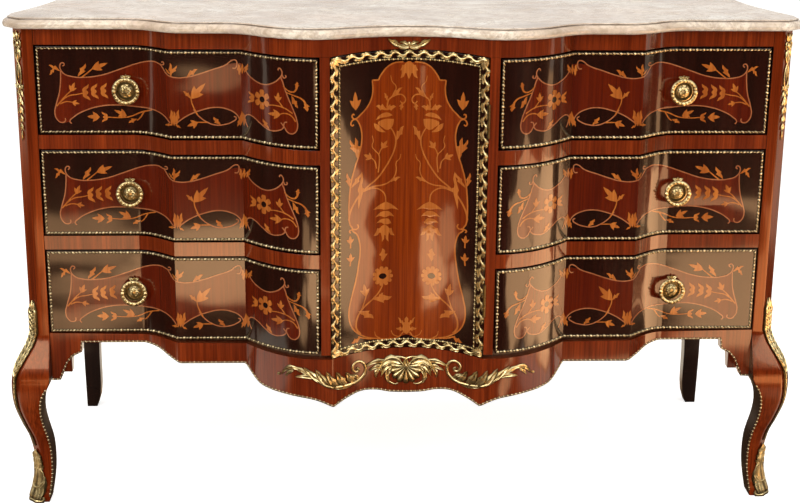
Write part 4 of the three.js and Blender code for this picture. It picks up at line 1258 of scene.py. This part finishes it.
# %% Apron scrolls
SCROLL_STEM = [
    (91, 307, 6), (87, 304, 5), (90, 300, 4.5), (95, 301.5, 4.5), (98, 307, 4.6), (96, 315, 4.6),
    (89, 319.5, 4.8), (81, 317.5, 5), (76, 311, 5), (74.5, 302, 5.4), (77, 293, 5.8), (83, 286, 6),
    (92, 280.5, 6), (103, 277.5, 6), (116, 276.5, 6), (129, 277, 5.8), (141, 280, 5.4), (152, 285, 5),
    (161, 291, 4.6), (171, 298, 4.4), (181, 304.5, 4.2), (190, 310.5, 4.2), (199, 313, 3.8), (208, 310, 3),
    (214, 301, 2.2),
]
SCROLL_LEAVES = [
    ((86, 285), (92, 293), (104, 296), 8), ((95, 280), (104, 288), (110, 303), 13),
    ((110, 278), (121, 286), (128, 307), 15), ((126, 278), (138, 288), (146, 310), 15),
    ((143, 282), (154, 293), (165, 314), 14), ((160, 291), (171, 302), (187, 317), 12),
    ((168, 297), (184, 302), (203, 297), 9), ((181, 304), (193, 314), (209, 315), 9),
    ((197, 312), (216, 321), (228, 297), 9), ((206, 308), (216, 306), (220, 295), 6),
    ((230, 300), (233, 297), (236, 296), 5), ((98, 277), (116, 270), (136, 277), 6),
]
for side, turn in reversed(SIDES.items()):
    parts = halves("scroll", [SCROLL_STEM], SCROLL_LEAVES, (turn,))
    front_mount(f"scroll_{side}", parts, f"apron_scroll_{side}")

# %% Ribbon over the door
RIBBON = [
    [(0, 893, 4), (0, 898, 5), (0, 902, 3)],
    [(1, 892, 3), (9, 889.5, 3.4), (17, 892, 2.6), (20, 896, 2)],
]
RIBBON_LEAVES = [
    ((1, 895), (14, 891), (24, 899), 8), ((14, 895), (26, 897), (37, 908), 8.5),
    ((2, 897), (9, 903), (17, 901), 6), ((20, 900), (27, 906), (35, 903), 5),
]
front_mount("ribbon", halves("ribbon", RIBBON, RIBBON_LEAVES), "ribbon_mount")

# %% [markdown]
# ## The frame of the door
# The frame is a run of leaves: one strand winds along the edge, and leaves spring from its
# crests. The strands are laid along each side of the door by distance, so the leaves keep their
# length when the door changes, and a bead row follows inside.

# %% Door frame
WINDING_LEAVES = (
    ((-0.003, 0.001), (0.002, 0.0068), (0.0100, 0.0036), 6.0),
    ((0.000, 0.002), (-0.004, 0.0060), (-0.0080, 0.0022), 4.8),
)
STRAND_INSET, BEAD_INSET, CORNER_INSET = 0.0060, 0.0150, 0.004
STRAND_LIFT = 0.0010


def lengthwise(line, spacing):
    """Points at even spacing along a line of (x, z) points, each with its direction."""
    steps = [math.dist(a, b) for a, b in zip(line, line[1:])]
    count = max(2, round(sum(steps) / spacing))
    made = []
    for i in range(count + 1):
        rest = sum(steps) * i / count
        for j, step in enumerate(steps):
            if rest <= step or j == len(steps) - 1:
                (ax, az), (bx, bz) = line[j], line[j + 1]
                share = rest / step
                dx, dz = (bx - ax) / step, (bz - az) / step
                made.append((ax + (bx - ax) * share, az + (bz - az) * share, dx, dz))
                break
            rest -= step
    return made


def winding(line, pitch=0.025, swing=0.0030, width=0.0054):
    """A strand that winds along a line, and the leaves that spring from its crests."""
    strand, foliage = [], []
    for i, (x, z, dx, dz) in enumerate(lengthwise(line, pitch / 8)):
        wave = math.sin(2 * math.pi * i / 8)
        strand.append((x - dz * swing * wave, z + dx * swing * wave, width * (0.7 + 0.3 * abs(wave))))
        if i % 4 == 1:
            out = 1 if i % 8 == 1 else -1
            for *shape, size in WINDING_LEAVES:
                leaf = [
                    ((x + a * dx - dz * b * out) / MM, (z + a * dz + dx * b * out) / MM) for a, b in shape
                ]
                foliage.append((*leaf, size))
    return strand, foliage


strokes, foliage = [], []
lower, upper = leaf_edges(STRAND_INSET)
for line in (lower, upper, [lower[0], upper[0]], [lower[-1], upper[-1]]):
    strand, leafage = winding(line)
    strokes.append(strand)
    foliage += leafage
for turn in (1, -1):
    for up, level in ((1, leaf_high.z - ARCH_RISE), (-1, leaf_low.z)):
        x, z = turn * (leaf_half - CORNER_INSET) / MM, (level - up * CORNER_INSET) / MM
        for run, drop in ((15, 3), (3, 15), (10, 10)):
            base, bend = [(x - turn * run * share, z - up * drop * share) for share in (1, 0.3)]
            foliage.append((base, bend, (x + turn * 3, z + up * 3), 7))
strands = join([cast("strands", strokes, 2), leaves("foliage", foliage)], "strands")
strands = smooth(follow_front(strands, STRAND_LIFT), CAST_ANGLE)
inner = [on_line(x, z) for x, z in leaf_outline(BEAD_INSET)]
row = beads_along("frame_beads", inner, pearl=0.0021, pitch=0.0080, strip=0.0012)
door_frame = join([strands, row], "door_frame")
dress(door_frame, gilt, "door", "door_frame_mount", slot="gilt_brass")
print("door frame faces:", len(door_frame.data.polygons))

# %% [markdown]
# ## Mounts of the corners and legs
# A pierced chute hangs down each canted corner. Below it a leaf bends over the knee and thins
# to a line that runs down the leg to the shoe. The leaf and the shoe take their places from
# the CAD mounts, level by level, so that their veins lie on them wherever the leg goes.

# %% Corner chutes
CHUTE_STROKES = [
    [(2, -20, 2.6), (8, -17, 3.2), (10, -23, 3.2), (7, -30, 3), (4, -27, 2.4)],
    [(1, -31, 2.6), (6, -38, 3.6), (5, -48, 3.6), (0.5, -57, 2.4)],
    [(0.5, -56, 2.4), (5, -66, 3), (7, -80, 3.2), (6, -93, 3.4), (1, -101, 3.6)],
    [(3, -101, 3), (9, -98, 3.2), (11, -103, 2)], [(-5, -109, 2), (0, -117, 3), (6, -126, 2)],
]
CHUTE_LEAVES = [
    ((0, -16), (1, -8), (0, 0), 8), ((1, -16), (6, -12), (10, -2), 6), ((0, -19), (1, -24), (0, -30), 9),
    ((0, -31), (1, -42), (0, -55), 6), ((0, -60), (1, -74), (0, -90), 5), ((1, -30), (9, -36), (9, -48), 5),
    ((0, -97), (1, -103), (0, -110), 9), ((1, -100), (8, -104), (12, -96), 6),
    ((1, -105), (8, -110), (10, -118), 5), ((0, -122), (1, -130), (0, -136), 8),
    ((1, -125), (7, -127), (9, -134), 5), ((0, -136), (1, -143), (0, -152), 7),
    ((1, -137), (6, -142), (7, -151), 5), ((0, -152), (1, -159), (0, -167), 6),
    ((1, -153), (5, -158), (6, -166), 4.5), ((0, -167), (1, -174), (0, -181), 5.4),
    ((1, -168), (4, -173), (5, -180), 4), ((0, -181), (1, -189), (0, -199), 4.6),
]
for side, turn in reversed(SIDES.items()):
    low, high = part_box(f"corner_mount_{side}")
    chute = join(halves("chute", CHUTE_STROKES, CHUTE_LEAVES), f"chute_{side}")
    facing = Vector((turn, -1, 0)).normalized()
    chute.rotation_euler = (0, 0, turn * math.radians(45))
    chute.location = (low + high) / 2 - facing * 0.0008
    chute.location.z = high.z
    dress(smooth(settle(chute), CAST_ANGLE), gilt, "carcass", f"corner_mount_{side}", slot="gilt_brass")

# %% Reading the levels of a CAD mount
def levels_of(node):
    """The points of a CAD node by height, from the top down."""
    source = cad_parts[node]
    found = {}
    for vertex in source.data.vertices:
        place = source.matrix_world @ vertex.co
        found.setdefault(round(place.z, 4), []).append(place)
    return sorted(found.items(), reverse=True)


def on_face(places, depth, order, slack=0.0003):
    """The points that lie least deep, in order along their face."""
    limit = min(depth(p) for p in places) + slack
    return sorted((p for p in places if depth(p) < limit), key=order)


def between_levels(rows, z, s):
    """A point at height z; s counts along the corner points of each level, and may go past them."""
    top, low = rows[0], rows[-1]
    for a, b in zip(rows, rows[1:]):
        if b[0] <= z:
            top, low = a, b
            break
    share = min(1, max(0, (z - low[0]) / (top[0] - low[0])))

    def on(corners):
        k = min(max(math.floor(s), 0), len(corners) - 2)
        return corners[k] + (corners[k + 1] - corners[k]) * (s - k)

    place = on(low[1]).lerp(on(top[1]), share)
    place.z = z
    return place


def laid_on(piece, rows, sign, middle, unit):
    """Lay a flat piece on a CAD mount: its x counts along each level, its height above y = 0 stands out."""
    facing = Vector((sign, -1, 0)).normalized()
    for vertex in piece.data.vertices:
        place = between_levels(rows, vertex.co.z, middle + vertex.co.x / unit)
        vertex.co = place - facing * vertex.co.y
    if sign < 0:
        turned_over(piece)
    return smooth(piece, CAST_ANGLE)


# %% Knee mounts
KNEE_STROKES = [[(0, z, 2.6) for z in (388, 370, 350, 325, 300, 280, 262, 240, 215, 190, 165, 140, 116)]]
KNEE_LEAVES = [
    ((0, 384), (1, 392), (0, 402), 9), ((1, 384), (7, 387), (9, 398), 7), ((3, 388), (9, 383), (10, 373), 6),
    *[((0, z), (7, z + 1), (9, z + 13), 8) for z in range(262, 378, 11)],
    *[((1, z), (5, z + 1), (6, z + 10), 5) for z in range(196, 258, 11)],
]
for side, sign in SIDES.items():
    rows = []
    for z, places in levels_of(f"knee_mount_{side}"):
        outer = on_face(places, lambda p: p.y - sign * p.x, lambda p: sign * p.x, 0.0004)
        rows.append((z, [outer[0], outer[0].lerp(outer[-1], 0.5), outer[-1]]))
    parts = [cast("knee", in_metres(KNEE_STROKES, 1))]
    parts += [leaves("knee", KNEE_LEAVES, half) for half in (1, -1)]
    flat = laid_on(join(parts, "knee"), rows, sign, middle=1, unit=0.0105)
    base = node_copy(f"knee_mount_{side}", "knee leaf", 30, 0.0006)
    knee = join([base, flat], f"knee_{side}")
    dress(knee, gilt, "carcass", f"knee_mount_{side}", slot="gilt_brass")

# %% Shoes of the legs
SHOE_REACH = [
    (0, 17), (6, 18), (10, 15), (22, 17), (36, 18), (48, 16), (58, 9), (66, 8), (72, 13), (76, 9), (82, 13),
    (86, 8), (92, 11), (96, 6), (102, 2),
]
SHOE_STROKES = [
    [(7, 36, 2.4), (12, 46, 3.2), (11, 56, 3), (6, 63, 3.2), (0, 66, 3.4)],
    [(7, 36, 2.4), (4, 30, 3), (0, 28, 3)], [(3, 24, 2), (4, 14, 2.6), (3, 8, 2)],
    [(8, 27, 2), (9, 17, 3), (8, 8, 2)], [(13, 30, 2), (14, 19, 3), (12, 8, 2)],
    [(16, 12, 2.6), (17, 5, 4.6), (13, 3, 4), (6, 4, 4), (0, 4, 4)],
]
SHOE_LEAVES = [
    ((0, 64), (1, 76), (0, 92), 9), ((1, 64), (8, 66), (14, 74), 6), ((1, 74), (7, 76), (13, 84), 5.5),
    ((1, 84), (6, 86), (10, 94), 5), ((0, 90), (1, 97), (0, 106), 6), ((6, 30), (15, 38), (13, 54), 6),
]


def between_rows(table, at):
    """The value at a place in a table of (place, value) rows."""
    for (a, low), (b, high) in zip(table, table[1:]):
        if at <= b + 0.001:
            return low + (high - low) * (at - a) / (b - a)


def shoe_body():
    """A thin shaped plate, drawn flat: its half-width at each height comes from the table."""
    bpy.ops.mesh.primitive_grid_add(x_subdivisions=12, y_subdivisions=50, size=2)
    plate = settle(bpy.context.active_object)
    for vertex in plate.data.vertices:
        across, z = vertex.co.x, (vertex.co.y + 1) * SHOE_REACH[-1][0] / 2
        swell = 0.7 * abs(math.sin(across * 7)) * (1 - across * across)
        vertex.co = (across * between_rows(SHOE_REACH, z) * MM, -swell * MM, z * MM)
    return sheets_joined([plate], "shoe plate", 0.0012, 0.0012)


for side, sign in SIDES.items():
    rows = []
    for z, places in levels_of(f"sabot_{side}"):
        front_row = on_face(places, lambda p: p.y, lambda p: sign * p.x)
        side_row = on_face(places, lambda p: -sign * p.x, lambda p: p.y)
        rows.append((z, [front_row[0], front_row[-1], side_row[0], side_row[-1]]))
    flat = join([shoe_body()] + halves("shoe", SHOE_STROKES, SHOE_LEAVES), f"shoe_{side}")
    shoe = laid_on(flat, rows, sign, middle=1.5, unit=0.0125)
    dress(shoe, gilt, "carcass", f"sabot_{side}", slot="gilt_brass")

# %% [markdown]
# ## Pulls
# Each pull is a stepped boss turned from one profile with the Screw modifier, ribbed like a
# flower and topped with a small bow of leaves, and a ring set with flattened lumps and a larger pearl at
# every fifth place.

# %% Boss
BOSS_PROFILE = [
    (0, 10.4), (3.0, 10.0), (4.2, 8.8), (6.0, 8.6), (9.0, 7.2), (11.4, 4.8), (12.4, 2.8), (13.0, 1.4),
    (16.6, 1.2), (17.4, 2.4), (18.4, 2.2), (18.8, 1.0), (18.8, 0),
]
BOW = [((2, 21), (5, 27), (10, 26), 6), ((-2, 21), (-5, 27), (-10, 26), 6), ((0, 21), (0.5, 25), (0, 30), 6)]
BOW_LIFT = 0.0045


def turned(name, profile, steps=32):
    """A profile of (radius, distance forward) turned about the Y axis."""
    piece = as_mesh(polyline(name, [(radius * MM, -out * MM, 0) for radius, out in profile]))
    modified(piece, "SCREW", axis="Y", steps=steps, render_steps=steps, use_merge_vertices=True)
    return smooth(face_outwards(piece), 40)


petals = []
for i in range(8):
    angle = 2 * math.pi * i / 8
    swirl = [(3.6, angle), (8.0, angle + 0.12), (12.2, angle + 0.30)]
    petals.append((*[(r * math.cos(a), r * math.sin(a)) for r, a in swirl], 6.0))
flower = leaves("boss petals", petals)
for vertex in flower.data.vertices:
    reach = math.hypot(vertex.co.x, vertex.co.z) / MM
    for (r0, y0), (r1, y1) in zip(BOSS_PROFILE, BOSS_PROFILE[1:]):
        if r0 <= reach <= r1:
            vertex.co.y -= (y0 + (y1 - y0) * (reach - r0) / (r1 - r0)) * MM
            break
bow = leaves("bow", BOW)
for vertex in bow.data.vertices:
    vertex.co.y -= BOW_LIFT
# The rim next to the plate gets a low level, so the gilding paints it with shade.
dome = record_relief(turned("boss", BOSS_PROFILE), lambda place: 0.1 if -place.y < 0.0018 else 0.7)
boss = join([dome, smooth(flower, CAST_ANGLE), smooth(bow, CAST_ANGLE)], "boss")

# %% Ring
RING_TUBE = 0.0038
ring_low, ring_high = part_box("pull_ring_top_right")
ring_radius = (ring_high.x - ring_low.x) / 2 - RING_TUBE
bpy.ops.object.select_all(action="DESELECT")
bpy.ops.mesh.primitive_torus_add(
    major_segments=48, minor_segments=10, major_radius=ring_radius, minor_radius=RING_TUBE,
    rotation=(math.pi / 2, 0, 0),
)
hoop = bpy.context.active_object
hoop.scale = (1, 1, 0.62)
lumps = [record_relief(settle(hoop, "ring"), 0.4)]
for i in range(20):
    angle = math.pi / 2 + 2 * math.pi * i / 20
    bpy.ops.mesh.primitive_uv_sphere_add(
        segments=10, ring_count=6, radius=RING_TUBE, rotation=(0, -angle, 0),
        location=(ring_radius * math.cos(angle), -0.0006, ring_radius * math.sin(angle)),
    )
    lump = bpy.context.active_object
    lump.scale = (0.95, 0.72, 0.62) if i % 5 else (1.12, 0.95, 1.1)
    lumps.append(record_relief(settle(lump), 1.0))
ring = smooth(join(lumps, "ring"), 60)

# %% Pulls in place
for side in SIDES:
    for row in ROWS:
        ring_low, ring_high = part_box(f"pull_ring_{row}_{side}")
        middle = (ring_low + ring_high) / 2
        plate_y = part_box(f"pull_plate_{row}_{side}")[1].y
        for model, name, y, body, node in (
            (boss, "pull", plate_y, f"drawer_{row}_{side}", f"pull_plate_{row}_{side}"),
            (ring, "pull_ring_cast", middle.y, f"ring_{row}_{side}", f"pull_ring_{row}_{side}"),
        ):
            copy = copy_of(model, f"{name}_{row}_{side}", (middle.x, y, middle.z))
            dress(copy, gilt, body, node, slot="gilt_brass")
for model in (boss, ring, relief):
    bpy.data.objects.remove(model)

# %% [markdown]
# ## Fine bead strips
# The lower edge of the apron and the inner edge of each leg carry a much finer bead row.
# The apron's row follows the same cut line as the board, moved in by about half its width.

# %% Strips along the lower edges
EDGE_INSET, LEG_INSET = 0.0022, 0.0020
STRIP_FOOT, STRIP_HEAD = 0.008, 0.24
FINE = {"cyclic": False, "pearl": 0.0020, "pitch": 0.0080, "strip": 0.0012, "lift": 0.0006}


def drawn_in(points, inset, closed=False):
    """A line moved sideways by an inset, to the left of its direction."""
    made = []
    count = len(points)
    for i, (x, y) in enumerate(points):
        before = points[i - 1] if closed or i > 0 else points[i]
        after = points[(i + 1) % count] if closed or i < count - 1 else points[i]
        dx, dy = after[0] - before[0], after[1] - before[1]
        size = math.hypot(dx, dy) or 1
        made.append((x - dy / size * inset, y + dx / size * inset))
    return made


right_edge = drawn_in(edge, EDGE_INSET)
whole_edge = [(-x, z) for x, z in reversed(right_edge[1:])] + right_edge
strip_lines = {"apron_beads": [on_line(x, z) for x, z in whole_edge]}
for side, sign in SIDES.items():
    line = []
    for z, places in levels_of(f"front_leg_{side}"):
        inner = on_face(places, lambda p: p.y, lambda p: sign * p.x)[0]
        if STRIP_FOOT < z < STRIP_HEAD:
            line.append((inner.x + sign * LEG_INSET, inner.y, z))
    strip_lines[f"leg_beads_{side}"] = line
for name, line in strip_lines.items():
    dress(beads_along(name, line, **FINE), bead_gilt, "carcass", slot="gilt_brass")
print("fine strips:", list(strip_lines))

# %% [markdown]
# ## The marble slab
# The slab's outline is read from the widest level of the CAD slab and made finer. Its moulding is
# one profile, drawn in from that outline: a round nose, a sunk line, and a small edge on top.

# %% Marble slab
SLAB_PROFILE = [
    (7.0, 0), (2.4, 1.4), (0.6, 4.2), (0, 7.4), (0.4, 10.6), (2.0, 13.6), (4.6, 15.6), (7.4, 16.2),
    (9.4, 16.0), (9.8, 17.8), (8.6, 18.3), (9.2, 19.6), (11.4, 20),
]
GROOVE = (7, 10)
EAR_DEPTH = 0.165


def slab_outline():
    """The widest level of the CAD slab as a closed line of finer points, from the left rear forwards."""
    places = max(levels_of("marble_top"), key=lambda level: max(p.x for p in level[1]))[1]
    half = {(round(p.x, 5), round(p.y, 5)) for p in places if p.x > -0.00001}
    ear_line = marble[0].y + EAR_DEPTH
    *middle, ear_inner, ear_outer = sorted(p for p in half if p[1] < ear_line)
    along_side = sorted((p for p in half if p[1] > ear_line), key=lambda p: p[1])
    front_run = smooth_through([(-x, y) for x, y in reversed(middle[1:])] + middle, 3)
    right = [ear_inner, ear_outer] + smooth_through(along_side, 3)
    return [(-x, y) for x, y in reversed(right)] + front_run + right


def walled(name, rings):
    """A closed body through rings of equal length, one above the other."""
    count = len(rings[0])
    bpy.ops.mesh.primitive_grid_add(x_subdivisions=count, y_subdivisions=len(rings) - 1)
    piece = bpy.context.active_object
    piece.name = piece.data.name = name
    for i, vertex in enumerate(piece.data.vertices):
        level, place = divmod(i, count + 1)
        vertex.co = rings[level][place % count]
    with editing(welded(piece)):
        bpy.ops.mesh.fill_holes(sides=0)
    return face_outwards(piece)


slab_line = slab_outline()
rings = []
for inset, height in SLAB_PROFILE:
    line = drawn_in(slab_line, inset * MM, closed=True)
    line[0], line[-1] = (line[0][0], slab_line[0][1]), (line[-1][0], slab_line[-1][1])
    rings.append([(x, y, marble[0].z + height * MM) for x, y in line])
slab = eased(walled("marble_slab", rings), 0, angle=50)
dress(slab, cream_marble, "carcass", "marble_top", slot="marble")
# The faces of the sunk line get the marble darkened as painted shadow.
slab.data.materials.append(groove_shadow_marble)
groove_low, groove_high = (marble[0].z + SLAB_PROFILE[i][1] * MM for i in GROOVE)
for polygon in slab.data.polygons:
    if groove_low - 0.0001 < polygon.center.z < groove_high - 0.0001 and len(polygon.vertices) == 4:
        polygon.material_index = 1
print("slab faces:", len(slab.data.polygons))

# %% [markdown]
# ## The plain pieces
# Boards that only show when a drawer or the door is open keep their CAD shape.

# %% Finishes on the CAD nodes
for name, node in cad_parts.items():
    if node.hide_render:
        continue
    finish = inner_wood
    if "hinge" in name:
        finish = gilt
    elif name.startswith(("dust_board", "partition")):
        finish = rail_veneer
    node.data.materials.clear()
    node.data.materials.append(finish)

# %% Leave the bench tidy
bpy.data.objects.remove(pen)
